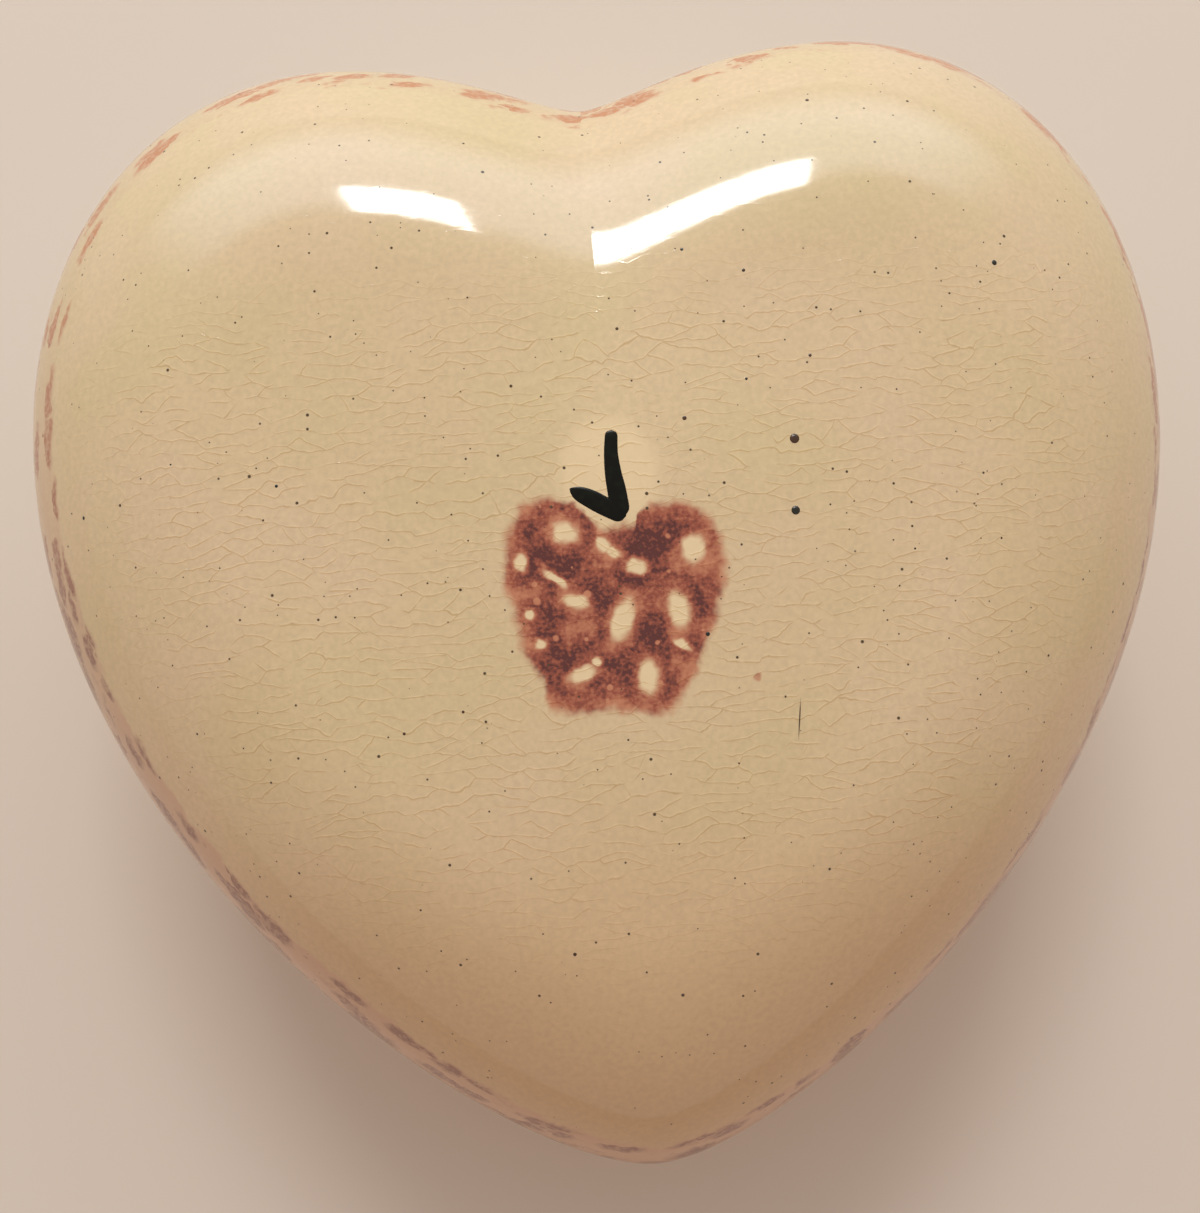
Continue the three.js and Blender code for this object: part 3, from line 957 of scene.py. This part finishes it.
def sponged_band(tree, place, depth, left_width, right_width):
    """Colour of the band's ink and how much of it covers the clay: a wash with a torn inner edge that
    thins out towards the lobes, under dabs that run along the edge."""
    side = add(tree, "ShaderNodeSeparateXYZ", {0: place}).node.outputs
    width = add(
        tree, "ShaderNodeMapRange",
        {"Value": side[0], "From Min": -BAND_NARROWING, "From Max": BAND_NARROWING,
         "To Min": left_width, "To Max": right_width})
    tears = add(
        tree, "ShaderNodeTexNoise", {"Vector": place, "Scale": 1 / BAND_TEAR_SPACING, "Detail": 3})
    torn = add(
        tree, "ShaderNodeMath", {0: tears, 1: -BAND_TEAR, 2: BAND_TEAR / 2}, operation="MULTIPLY_ADD")
    edge = add(tree, "ShaderNodeMath", {0: width, 1: torn}, operation="ADD")
    inside = add(tree, "ShaderNodeMath", {0: edge, 1: depth}, operation="SUBTRACT")
    within = add(
        tree, "ShaderNodeMapRange", {"Value": inside, "From Min": 0, "From Max": BAND_SOFT_EDGE},
        interpolation_type="SMOOTHSTEP")
    wash_share = add(
        tree, "ShaderNodeMapRange",
        {"Value": side[1], "From Min": BAND_WASH_FADES[0], "From Max": BAND_WASH_FADES[1],
         "To Min": BAND_WASH_SHARES[0], "To Max": BAND_WASH_SHARES[1]})
    wash = add(tree, "ShaderNodeMath", {0: within, 1: wash_share}, operation="MULTIPLY")

    # Dabs are drawn in a space of the way round the heart, the distance from its middle, and height
    smeared = wander(tree, place, DAB_TEARS)
    flat = add(tree, "ShaderNodeVectorMath", {0: smeared, 1: (1, 1, 0)}, operation="MULTIPLY")
    radius = add(tree, "ShaderNodeVectorMath", {0: flat}, operation="LENGTH")
    smeared_side = add(tree, "ShaderNodeSeparateXYZ", {0: smeared}).node.outputs
    tipwards = add(tree, "ShaderNodeMath", {0: smeared_side[1], 1: -1}, operation="MULTIPLY")
    angle = add(tree, "ShaderNodeMath", {0: smeared_side[0], 1: tipwards}, operation="ARCTAN2")
    along = add(tree, "ShaderNodeMath", {0: angle, 1: DAB_SHORT_RADIUS}, operation="MULTIPLY")
    unrolled = add(tree, "ShaderNodeCombineXYZ", {0: along, 1: radius, 2: smeared_side[2]})
    struck = strewn_dots(tree, unrolled, DAB_SPACING, DAB_RADII, DAB_CHANCE_SHARE)
    sponge = mottle(tree, place, DAB_GRAIN_SPACING, 1, DAB_GRAIN_SHARES, DAB_GRAIN_LEVEL_SHARES)
    printed = add(tree, "ShaderNodeMath", {0: struck, 1: sponge}, operation="MULTIPLY")
    dabs = add(tree, "ShaderNodeMath", {0: printed, 1: within}, operation="MULTIPLY")
    upwards = add(
        tree, "ShaderNodeMapRange", {"Value": side[1], "From Min": 0, "From Max": DAB_UPPER_FULL_AT})
    dab_colour = add(
        tree, "ShaderNodeMix", {"Factor": upwards, "A": colour(DAB_LOWER), "B": colour(DAB_UPPER)},
        data_type="RGBA")
    ink = add(
        tree, "ShaderNodeMix", {"Factor": dabs, "A": colour(BAND_WASH), "B": dab_colour}, data_type="RGBA")
    dab_cover = add(tree, "ShaderNodeMath", {0: dabs, 1: DAB_COVER_SHARE}, operation="MULTIPLY")
    return ink, add(tree, "ShaderNodeMath", {0: wash, 1: dab_cover}, operation="MAXIMUM")


def above(tree, value, limit, wave):
    """1 where a value lies above a limit that wanders by a wave, and 0 below it."""
    over = add(tree, "ShaderNodeMath", {0: value, 1: limit}, operation="SUBTRACT")
    waved = add(tree, "ShaderNodeMath", {0: over, 1: wave}, operation="ADD")
    return add(
        tree, "ShaderNodeMapRange", {"Value": waved, "From Max": GLAZE_THICKNESS},
        interpolation_type="SMOOTHSTEP")


def glaze_line(tree, place):
    """How far the edge of the glaze wanders up and down."""
    noise = add(tree, "ShaderNodeTexNoise", {"Vector": place, "Scale": 1 / GLAZE_LINE_SPACING, "Detail": 1})
    return add(
        tree, "ShaderNodeMath", {0: noise, 1: GLAZE_LINE_WAVE, 2: -GLAZE_LINE_WAVE / 2},
        operation="MULTIPLY_ADD")


def glazed_share_of_lid(tree, place, inset):
    """The lid is wiped bare on its seat, on the flange's outside and round the flange's lip."""
    height = add(tree, "ShaderNodeSeparateXYZ", {0: place}).node.outputs[2]
    wave = glaze_line(tree, place)
    above_seat = above(tree, height, LID_SEAT + BARE_SEAT_HEIGHT, wave)
    above_lip = above(tree, height, FLANGE_BOTTOM + BARE_FLANGE_HEIGHT, wave)
    inner_side = above(tree, inset, (FLANGE_OUTSIDE + FLANGE_INSIDE) / 2, 0)
    hollow = add(tree, "ShaderNodeMath", {0: above_lip, 1: inner_side}, operation="MULTIPLY")
    return add(tree, "ShaderNodeMath", {0: above_seat, 1: hollow}, operation="MAXIMUM")


def glazed_share_of_base(tree, place, inset):
    """The base is wiped bare under its foot and on top of its rim."""
    height = add(tree, "ShaderNodeSeparateXYZ", {0: place}).node.outputs[2]
    wave = glaze_line(tree, place)
    above_foot = above(tree, height, BARE_FOOT_HEIGHT, wave)
    above_rim = above(tree, height, BASE_HIGH.z - BARE_RIM_HEIGHT, 0)
    below_rim = add(tree, "ShaderNodeMath", {0: 1, 1: above_rim}, operation="SUBTRACT")
    return add(tree, "ShaderNodeMath", {0: above_foot, 1: below_rim}, operation="MULTIPLY")


def glazed_earthenware(name, glazed_share, decorate, crack_dimensions):
    """Slip-cast buff earthenware with sponged underglaze colours below a clear lead-type glaze that has
    crazed: a wet gloss over a cream body, with fine raised cracks whose lips carry a painted highlight,
    iron dots, and matt where the clay is bare. The cracks and dots are drawn a little wider than real, so
    that they show."""
    material, tree, place = new_material(name)
    inset = add(tree, "ShaderNodeAttribute", attribute_name="inset").node.outputs["Fac"]
    cream = glaze_tint(tree, place)
    for ink, cover in decorate(tree, place, inset):
        cream = add(tree, "ShaderNodeMix", {"Factor": cover, "A": cream, "B": ink}, data_type="RGBA")
    crack, lip = crazing(tree, place, inset, crack_dimensions)
    cracked = add(
        tree, "ShaderNodeMix", {"Factor": crack, "A": cream, "B": colour(CRACK_STAIN)},
        data_type="RGBA", blend_type="MULTIPLY")
    # Painted highlight: the colour is lightened along the cracks' raised lips, mostly on cracks that run
    # across the heart
    lip_highlight_level = add(
        tree, "ShaderNodeMath", {0: lip, 1: LIP_PAINTED_HIGHLIGHT_SHARE, 2: 1}, operation="MULTIPLY_ADD")
    lip_highlighted = add(tree, "ShaderNodeVectorMath", {0: cracked, "Scale": lip_highlight_level}, operation="SCALE")
    dot = strewn_dots(tree, place, DOT_SPACING, DOT_RADII, DOT_CHANCE_SHARE)
    dotted = add(
        tree, "ShaderNodeMix", {"Factor": dot, "A": lip_highlighted, "B": colour(DOT_COLOUR)}, data_type="RGBA")

    glazed = glazed_share(tree, place, inset)
    surface = add(
        tree, "ShaderNodeMix", {"Factor": glazed, "A": colour(CLAY_COLOUR), "B": dotted}, data_type="RGBA")
    roughness = add(
        tree, "ShaderNodeMapRange",
        {"Value": glazed, "To Min": CLAY_ROUGHNESS, "To Max": GLAZE_ROUGHNESS})
    peel = add(tree, "ShaderNodeTexNoise", {"Vector": place, "Scale": 1 / PEEL_SPACING, "Detail": 1})
    lip_height = add(tree, "ShaderNodeMath", {0: lip, 1: LIP_HEIGHT}, operation="MULTIPLY")
    peel_height = add(
        tree, "ShaderNodeMath", {0: peel, 1: PEEL_HEIGHT, 2: lip_height}, operation="MULTIPLY_ADD")
    glaze_height = add(
        tree, "ShaderNodeMath", {0: peel_height, 1: GLAZE_THICKNESS}, operation="ADD")
    clay_grain = add(
        tree, "ShaderNodeTexNoise", {"Vector": place, "Scale": 1 / CLAY_GRAIN_SPACING, "Detail": 2})
    clay_height = add(tree, "ShaderNodeMath", {0: clay_grain, 1: CLAY_GRAIN_HEIGHT}, operation="MULTIPLY")
    height = add(tree, "ShaderNodeMix", {"Factor": glazed, "A": clay_height, "B": glaze_height})
    bump = add(tree, "ShaderNodeBump", {"Height": height, "Distance": 1})
    sockets = {"Base Color": surface, "Roughness": roughness, "Normal": bump}
    return finish_material(material, sockets, {"IOR": GLAZE_IOR})


def decorate_lid(tree, place, inset):
    """The lid's layers of colour: the spot wiped clean for the stem, the apple, a scratch, the band."""
    flat = add(tree, "ShaderNodeVectorMath", {0: place, 1: (1, 1, 0)}, operation="MULTIPLY")
    wiped = blot_cover(tree, flat, WIPED_SPOT, WIPED_RIM_SHARES, WIPED_COVER_SHARE, "SMOOTHSTEP")
    scratched = blot_cover(tree, flat, SCRATCH, SCRATCH_RIM_SHARES, 1)
    return [
        (colour(HALO_COLOUR), wiped),
        *sponged_apple(tree, place),
        (colour(DOT_COLOUR), scratched),
        sponged_band(tree, place, inset, BAND_LEFT_WIDTH, BAND_RIGHT_WIDTH),
    ]


def decorate_base(tree, place, inset):
    """A narrow band below the base's rim, on its outside only."""
    height = add(tree, "ShaderNodeSeparateXYZ", {0: place}).node.outputs[2]
    below_rim = add(tree, "ShaderNodeMath", {0: BASE_HIGH.z, 1: height}, operation="SUBTRACT")
    inner_side = above(tree, inset, RIM_MIDDLE, 0)
    depth = add(
        tree, "ShaderNodeMath", {0: inner_side, 1: LID_HIGH.z, 2: below_rim}, operation="MULTIPLY_ADD")
    return [sponged_band(tree, place, depth, BASE_BAND_WIDTH, BASE_BAND_WIDTH)]


lid = casting(
    "glazed_lid", "lid", lid_sides(), lid_wave, LID_WAVE_HEIGHT, LID_WAVE_SEED,
    glazed_earthenware("crazed_glaze_lid", glazed_share_of_lid, decorate_lid, "2D"))
base = casting(
    "glazed_base", "base", base_sides(), base_wave, BASE_WAVE_HEIGHT, BASE_WAVE_SEED,
    glazed_earthenware("crazed_glaze_base", glazed_share_of_base, decorate_base, "3D"))

# The brushed stem: its main stroke and the short one beside it, with half widths along them
Dip = namedtuple("Dip", "x y half_width")
STEM_STROKES = [[Dip(x * MM, y * MM, half_width * MM) for x, y, half_width in stroke] for stroke in (
    ((0.1, 15.4, 0.56), (-0.1, 13.4, 0.62), (-0.05, 11.6, 0.74), (0.15, 9.9, 0.84), (0.38, 7.6, 0.86)),
    ((-4, 10.4, 0.1), (-3.3, 9.95, 0.62), (-2.2, 9.35, 0.82), (-1, 8.6, 0.84), (0.8, 7.6, 0.8)))]
STEM_FLATNESS_SHARE = 0.13
STROKE_STEP = 0.15 * MM
STROKE_SIDES = 16
LOOK_DOWN_CLEARANCE = 10 * MM
LOOK_DOWN_FROM = LID_HIGH.z + LOOK_DOWN_CLEARANCE
STEM_COLOUR = "#0b0d09"
STEM_WORN_COLOUR = "#15180f"
STEM_BRUSH_SPACING = 0.8 * MM
STEM_WORN_SHARES = (0.5, 0.75)
STEM_SPECULAR_LEVEL = 0.15
ENAMEL_ROUGHNESS = 0.25
ENAMEL_IOR = 1.5

# Iron specks: the larger ones at their places on the lid, and how densely others are strewn
Speck = namedtuple("Speck", "x y radius")
LID_SPECKS = [Speck(x * MM, y * MM, radius * MM) for x, y, radius in (
    (16.32, 13.49, 0.44), (15.88, 7.08, 0.4), (36.37, 28.65, 0.26), (6.67, 16.01, 0.2), (7.22, -3.29, 0.2),
    (-6.54, -30.71, 0.17), (-49.34, 11.71, 0.18), (-29.84, 12.57, 0.15), (18.41, 20.95, 0.16),
    (13.15, 29.22, 0.16), (7.78, 31.66, 0.15), (21.18, 46.27, 0.18), (-14.75, -8.52, 0.14),
    (-20.06, -10.06, 0.14), (12.5, 19.2, 0.13))]
SPECK_RADII = (0.05 * MM, 0.11 * MM)
SPECKS_PER_SQUARE_METRE = 3200
SPECK_FLATNESS_SHARE = 0.25
SPECK_SUBDIVISIONS = 2
SPECK_BLACK = "#181811"
SPECK_BROWN = "#4c2f1b"
SPECK_TINT_SPACING = 4 * MM
SPECK_BROWN_SHARES = (0.45, 0.6)
LID_SPECK_SEED = 4
BASE_SPECK_SEED = 9


def looked_down(tree, surface):
    """The place and the normal of the surface straight below each point."""
    sides = add(tree, "ShaderNodeSeparateXYZ", {0: add(tree, "GeometryNodeInputPosition")}).node.outputs
    eye = add(tree, "ShaderNodeCombineXYZ", {0: sides[0], 1: sides[1], 2: LOOK_DOWN_FROM})
    ray = add(
        tree, "GeometryNodeRaycast",
        {"Target Geometry": surface, "Source Position": eye, "Ray Direction": (0, 0, -1),
         "Ray Length": LOOK_DOWN_FROM})
    return ray.node.outputs["Hit Position"], ray.node.outputs["Hit Normal"]


def brushed_stroke_tree():
    """Sweeps a flat ridge of colour along each stroke and lays it on a surface. The ridge keeps the
    brush's width at each point and ends round."""
    tree, given, result = new_tree("brushed_strokes", {
        "Strokes": "NodeSocketGeometry",
        "Surface": "NodeSocketObject",
        "Step": "NodeSocketFloat",
        "Flatness": "NodeSocketFloat",
        "Material": "NodeSocketMaterial",
    }, ("Paint", "NodeSocketGeometry"))
    surface = add(tree, "GeometryNodeObjectInfo", {"Object": given["Surface"]}).node.outputs["Geometry"]
    lines = add(tree, "GeometryNodeMeshToCurve", {"Mesh": given["Strokes"]})
    curves = add(tree, "GeometryNodeCurveSplineType", {"Curve": lines}, spline_type="CATMULL_ROM")
    even = add(tree, "GeometryNodeResampleCurve", {"Curve": curves, "Length": given["Step"]}, mode="LENGTH")
    brush = add(
        tree, "GeometryNodeInputNamedAttribute", {"Name": "half_width"}, data_type="FLOAT")
    gone = add(tree, "GeometryNodeSplineParameter").node.outputs["Length"]
    whole = add(tree, "GeometryNodeSplineLength")
    left = add(tree, "ShaderNodeMath", {0: whole, 1: gone}, operation="SUBTRACT")
    to_end = add(tree, "ShaderNodeMath", {0: gone, 1: left}, operation="MINIMUM")
    run_in = add(tree, "ShaderNodeMath", {0: to_end, 1: brush}, operation="DIVIDE", use_clamp=True)
    round_end = levelled(tree, run_in)
    half_width = add(tree, "ShaderNodeMath", {0: brush, 1: round_end}, operation="MULTIPLY")
    section = add(tree, "GeometryNodeCurvePrimitiveCircle", {"Resolution": STROKE_SIDES, "Radius": 1})
    ridge = add(
        tree, "GeometryNodeCurveToMesh",
        {"Curve": even, "Profile Curve": section, "Scale": half_width, "Fill Caps": True})
    below, _ = looked_down(tree, surface)
    height = add(tree, "ShaderNodeSeparateXYZ", {0: add(tree, "GeometryNodeInputPosition")}).node.outputs[2]
    flattened = add(tree, "ShaderNodeMath", {0: height, 1: given["Flatness"]}, operation="MULTIPLY")
    rise = add(tree, "ShaderNodeCombineXYZ", {2: flattened})
    laid = add(tree, "ShaderNodeVectorMath", {0: below, 1: rise}, operation="ADD")
    placed = add(tree, "GeometryNodeSetPosition", {"Geometry": ridge, "Position": laid})
    hand_over(tree, placed, given["Material"], result["Paint"])
    return tree


def speck_tree():
    """Sets flat round specks at given places of a surface and strews more between two heights."""
    tree, given, result = new_tree("specks", {
        "Places": "NodeSocketGeometry",
        "Surface": "NodeSocketObject",
        "Density": "NodeSocketFloat",
        "Least Radius": "NodeSocketFloat",
        "Most Radius": "NodeSocketFloat",
        "Flatness": "NodeSocketFloat",
        "Lowest": "NodeSocketFloat",
        "Highest": "NodeSocketFloat",
        "Seed": "NodeSocketInt",
        "Material": "NodeSocketMaterial",
    }, ("Specks", "NodeSocketGeometry"))
    surface = add(tree, "GeometryNodeObjectInfo", {"Object": given["Surface"]}).node.outputs["Geometry"]
    height = add(tree, "ShaderNodeSeparateXYZ", {0: add(tree, "GeometryNodeInputPosition")}).node.outputs[2]
    over = add(tree, "FunctionNodeCompare", {"A": height, "B": given["Lowest"]}, operation="GREATER_THAN")
    under = add(tree, "FunctionNodeCompare", {"A": height, "B": given["Highest"]}, operation="LESS_THAN")
    strewn = add(
        tree, "GeometryNodeDistributePointsOnFaces",
        {"Mesh": surface, "Selection": add(tree, "FunctionNodeBooleanMath", {0: over, 1: under}),
         "Density": given["Density"], "Seed": given["Seed"]})
    random_radius = add(
        tree, "FunctionNodeRandomValue",
        {"Min": given["Least Radius"], "Max": given["Most Radius"], "Seed": given["Seed"]},
        data_type="FLOAT")
    below, upright = looked_down(tree, surface)
    set_down = add(tree, "GeometryNodeSetPosition", {"Geometry": given["Places"], "Position": below})
    own_radius = add(tree, "GeometryNodeInputNamedAttribute", {"Name": "radius"}, data_type="FLOAT")
    bead = add(tree, "GeometryNodeMeshIcoSphere", {"Radius": 1, "Subdivisions": SPECK_SUBDIVISIONS})
    joined = tree.nodes.new("GeometryNodeJoinGeometry")
    for points, normal, radius in (
            (set_down, upright, own_radius), (strewn, strewn.node.outputs["Normal"], random_radius)):
        turned = add(tree, "FunctionNodeAlignRotationToVector", {"Vector": normal}, axis="Z")
        thickness = add(tree, "ShaderNodeMath", {0: radius, 1: given["Flatness"]}, operation="MULTIPLY")
        size = add(tree, "ShaderNodeCombineXYZ", {0: radius, 1: radius, 2: thickness})
        specks = add(
            tree, "GeometryNodeInstanceOnPoints",
            {"Points": points, "Instance": bead, "Rotation": turned, "Scale": size})
        tree.links.new(specks, joined.inputs["Geometry"])
    hand_over(tree, joined.outputs["Geometry"], given["Material"], result["Specks"])
    return tree


def black_underglaze():
    """Iron and manganese black brushed on thick: nearly black, a little green, glossy under the glaze
    and thinner where the bristles left streaks."""
    material, tree, place = new_material("brushed_black_underglaze")
    worn = mottle(tree, place, STEM_BRUSH_SPACING, 3, STEM_WORN_SHARES)
    surface = add(
        tree, "ShaderNodeMix", {"Factor": worn, "A": colour(STEM_COLOUR), "B": colour(STEM_WORN_COLOUR)},
        data_type="RGBA")
    return finish_material(material, {"Base Color": surface}, {
        "Roughness": ENAMEL_ROUGHNESS,
        "IOR": ENAMEL_IOR,
        "Specular IOR Level": STEM_SPECULAR_LEVEL,
    })


def fired_iron():
    """Specks of iron that melted up through the glaze: brown to greenish black beads, glossy."""
    material, tree, place = new_material("fired_iron_specks")
    browner = mottle(tree, place, SPECK_TINT_SPACING, 1, SPECK_BROWN_SHARES)
    surface = add(
        tree, "ShaderNodeMix", {"Factor": browner, "A": colour(SPECK_BLACK), "B": colour(SPECK_BROWN)},
        data_type="RGBA")
    return finish_material(
        material, {"Base Color": surface}, {"Roughness": ENAMEL_ROUGHNESS, "IOR": ENAMEL_IOR})


def loose_points(name, lines, field):
    """A mesh of the points of some lines, each line joined by edges, with one number for each point."""
    points = [point for line in lines for point in line]
    edges = []
    first = 0
    for line in lines:
        edges += [(first + i, first + i + 1) for i in range(len(line) - 1)]
        first += len(line)
    mesh = bpy.data.meshes.new(name)
    mesh.from_pydata([(point.x, point.y, 0) for point in points], edges, [])
    values = [getattr(point, field) for point in points]
    mesh.attributes.new(field, "FLOAT", "POINT").data.foreach_set("value", values)
    return mesh


def add_stem():
    """The stem is its own raised layer of colour on the lid."""
    strokes = loose_points("strokes", STEM_STROKES, "half_width")
    stem = grow(new_piece("painted_stem", strokes), brushed_stroke_tree(), {
        "Surface": lid,
        "Step": STROKE_STEP,
        "Flatness": STEM_FLATNESS_SHARE,
        "Material": black_underglaze(),
    })
    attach(stem, "lid")


def add_specks(name, surface, body, places, lowest, highest, seed, iron):
    """Iron specks on one casting."""
    points = loose_points(name, [[place] for place in places], "radius")
    specks = grow(new_piece(name, points), SPECK_TREE, {
        "Surface": surface,
        "Density": SPECKS_PER_SQUARE_METRE,
        "Least Radius": SPECK_RADII[0],
        "Most Radius": SPECK_RADII[1],
        "Flatness": SPECK_FLATNESS_SHARE,
        "Lowest": lowest,
        "Highest": highest,
        "Seed": seed,
        "Material": iron,
    })
    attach(specks, body)


add_stem()
SPECK_TREE = speck_tree()
IRON = fired_iron()
add_specks("lid_specks", lid, "lid", LID_SPECKS, DOME_FOOT, LID_HIGH.z, LID_SPECK_SEED, IRON)
add_specks(
    "base_specks", base, "base", [], FOOT_HEIGHT + FOOT_ROUND, BASE_HIGH.z - RIM_ROUND,
    BASE_SPECK_SEED, IRON)

# Studio
FLOOR_SIZE = 2.4
FLOOR_COLOUR = "#dccfbe"
FLOOR_ROUGHNESS = 0.8
LIT_PLACE_SHARE = 0.3
LIT_PLACE = Vector((0, HEART_LENGTH * LIT_PLACE_SHARE, LID_HIGH.z))
WINDOW_DISTANCE = 1.3
WINDOW_AZIMUTH = math.radians(-1.5)
WINDOW_HEIGHT = math.radians(39)
WINDOW_ANGLES = (math.radians(23), math.radians(12))
WINDOW_LEVEL = 0.52
WINDOW_FADE_SHARES = (0.03, 0.08)
PALE_WALL_DISTANCE = 1.45
PALE_WALL_ANGLES = (math.radians(110), math.radians(46))
PALE_WALL_RADIANCE = 1.5
PALE_WALL_FADE_SHARES = (0.3, 0.3)
PALE_WALL_COLOUR = (0.83, 1, 1.18)

# Light of the world from the near side, past the tip, to the far side, past the lobes
WORLD_STOPS = (
    (0, (1.3, 1.02, 0.8, 1)),
    (0.18, (0.34, 0.21, 0.165, 1)),
    (0.45, (0.34, 0.23, 0.19, 1)),
    (0.75, (0.76, 0.78, 0.82, 1)),
)
BACKDROP_COLOUR = "#d8ccbe"


def add_lamp(name, place, size, radiance, fade_shares):
    """A rectangular lamp that the camera doesn't see, only its light and its mirror image. It fades
    out towards its edges, over a share of its width and a share of its height."""
    lamp = bpy.data.lights.new(name, "AREA")
    lamp.shape = "RECTANGLE"
    lamp.size, lamp.size_y = size
    lamp.energy = radiance * math.pi * lamp.size * lamp.size_y
    lamp.use_nodes = True
    tree = lamp.node_tree
    across = tree.nodes.new("ShaderNodeNewGeometry").outputs["Parametric"]
    sides = add(tree, "ShaderNodeSeparateXYZ", {0: across}).node.outputs
    level = 1
    for side, share in zip(sides, fade_shares):
        centred = add(tree, "ShaderNodeMath", {0: side, 1: 0.5}, operation="SUBTRACT")
        away = add(tree, "ShaderNodeMath", {0: centred}, operation="ABSOLUTE")
        fade = add(
            tree, "ShaderNodeMapRange", {"Value": away, "From Min": 0.5, "From Max": 0.5 - share},
            interpolation_type="SMOOTHSTEP")
        level = add(tree, "ShaderNodeMath", {0: level, 1: fade}, operation="MULTIPLY")
    tree.links.new(level, tree.nodes["Emission"].inputs["Strength"])
    holder = new_piece(name, lamp)
    holder.visible_camera = False
    holder.location = place
    return holder


def add_window():
    """The bright window beyond the lobes, which the glaze mirrors on both sides of the fold."""
    way = Vector((
        math.sin(WINDOW_AZIMUTH) * math.cos(WINDOW_HEIGHT),
        math.cos(WINDOW_AZIMUTH) * math.cos(WINDOW_HEIGHT),
        math.sin(WINDOW_HEIGHT),
    ))
    size = [2 * WINDOW_DISTANCE * math.tan(angle / 2) for angle in WINDOW_ANGLES]
    solid_angle = size[0] * size[1] / WINDOW_DISTANCE ** 2
    window = add_lamp(
        "window", LIT_PLACE + way * WINDOW_DISTANCE, size, WINDOW_LEVEL * math.pi / solid_angle,
        WINDOW_FADE_SHARES)
    window.rotation_euler = way.to_track_quat("Z", "Y").to_euler()


def add_pale_wall():
    """A pale lit wall below the window, which lays a soft sheen over the lobes."""
    width = 2 * PALE_WALL_DISTANCE * math.tan(PALE_WALL_ANGLES[0] / 2)
    height = LID_HIGH.z + PALE_WALL_DISTANCE * math.tan(PALE_WALL_ANGLES[1])
    place = (0, LIT_PLACE.y + PALE_WALL_DISTANCE, height / 2)
    wall = add_lamp("pale_wall", place, (width, height), PALE_WALL_RADIANCE, PALE_WALL_FADE_SHARES)
    wall.rotation_euler = Vector((0, 1, 0)).to_track_quat("Z", "Y").to_euler()
    wall.data.color = PALE_WALL_COLOUR


def add_world():
    """A soft world, dimmer and warmer overhead on the tip side, with a pale glow low before the tip,
    behind a plain backdrop that the camera and the gloss see."""
    world = bpy.data.worlds.new("studio")
    bpy.context.scene.world = world
    world.use_nodes = True
    tree = world.node_tree
    way = tree.nodes.new("ShaderNodeTexCoord").outputs["Generated"]
    towards = add(tree, "ShaderNodeSeparateXYZ", {0: way}).node.outputs[1]
    share = add(tree, "ShaderNodeMapRange", {"Value": towards, "From Min": -1, "From Max": 1})
    light = add(tree, "ShaderNodeValToRGB", {0: share})
    stops = light.node.color_ramp.elements
    for i, (at, strength) in enumerate(WORLD_STOPS):
        stop = stops[i] if i < 2 else stops.new(at)
        stop.position = at
        stop.color = strength
    rays = tree.nodes.new("ShaderNodeLightPath").outputs
    seen = rays["Is Camera Ray"]
    for kind in ("Is Glossy Ray", "Is Transmission Ray"):
        seen = add(tree, "ShaderNodeMath", {0: seen, 1: rays[kind]}, operation="MAXIMUM")
    shown = add(
        tree, "ShaderNodeMix", {"Factor": seen, "A": light, "B": colour(BACKDROP_COLOUR)}, data_type="RGBA")
    tree.links.new(shown, tree.nodes["Background"].inputs["Color"])


def add_floor():
    """A pale matt floor."""
    bpy.ops.mesh.primitive_plane_add(size=FLOOR_SIZE)
    floor = bpy.context.object
    floor.name = "floor"
    matt, _, _ = new_material("matt_paper")
    floor.data.materials.append(finish_material(
        matt, {}, {"Base Color": colour(FLOOR_COLOUR), "Roughness": FLOOR_ROUGHNESS}))


add_floor()
add_window()
add_pale_wall()
add_world()
bpy.context.scene.view_settings.view_transform = "Standard"
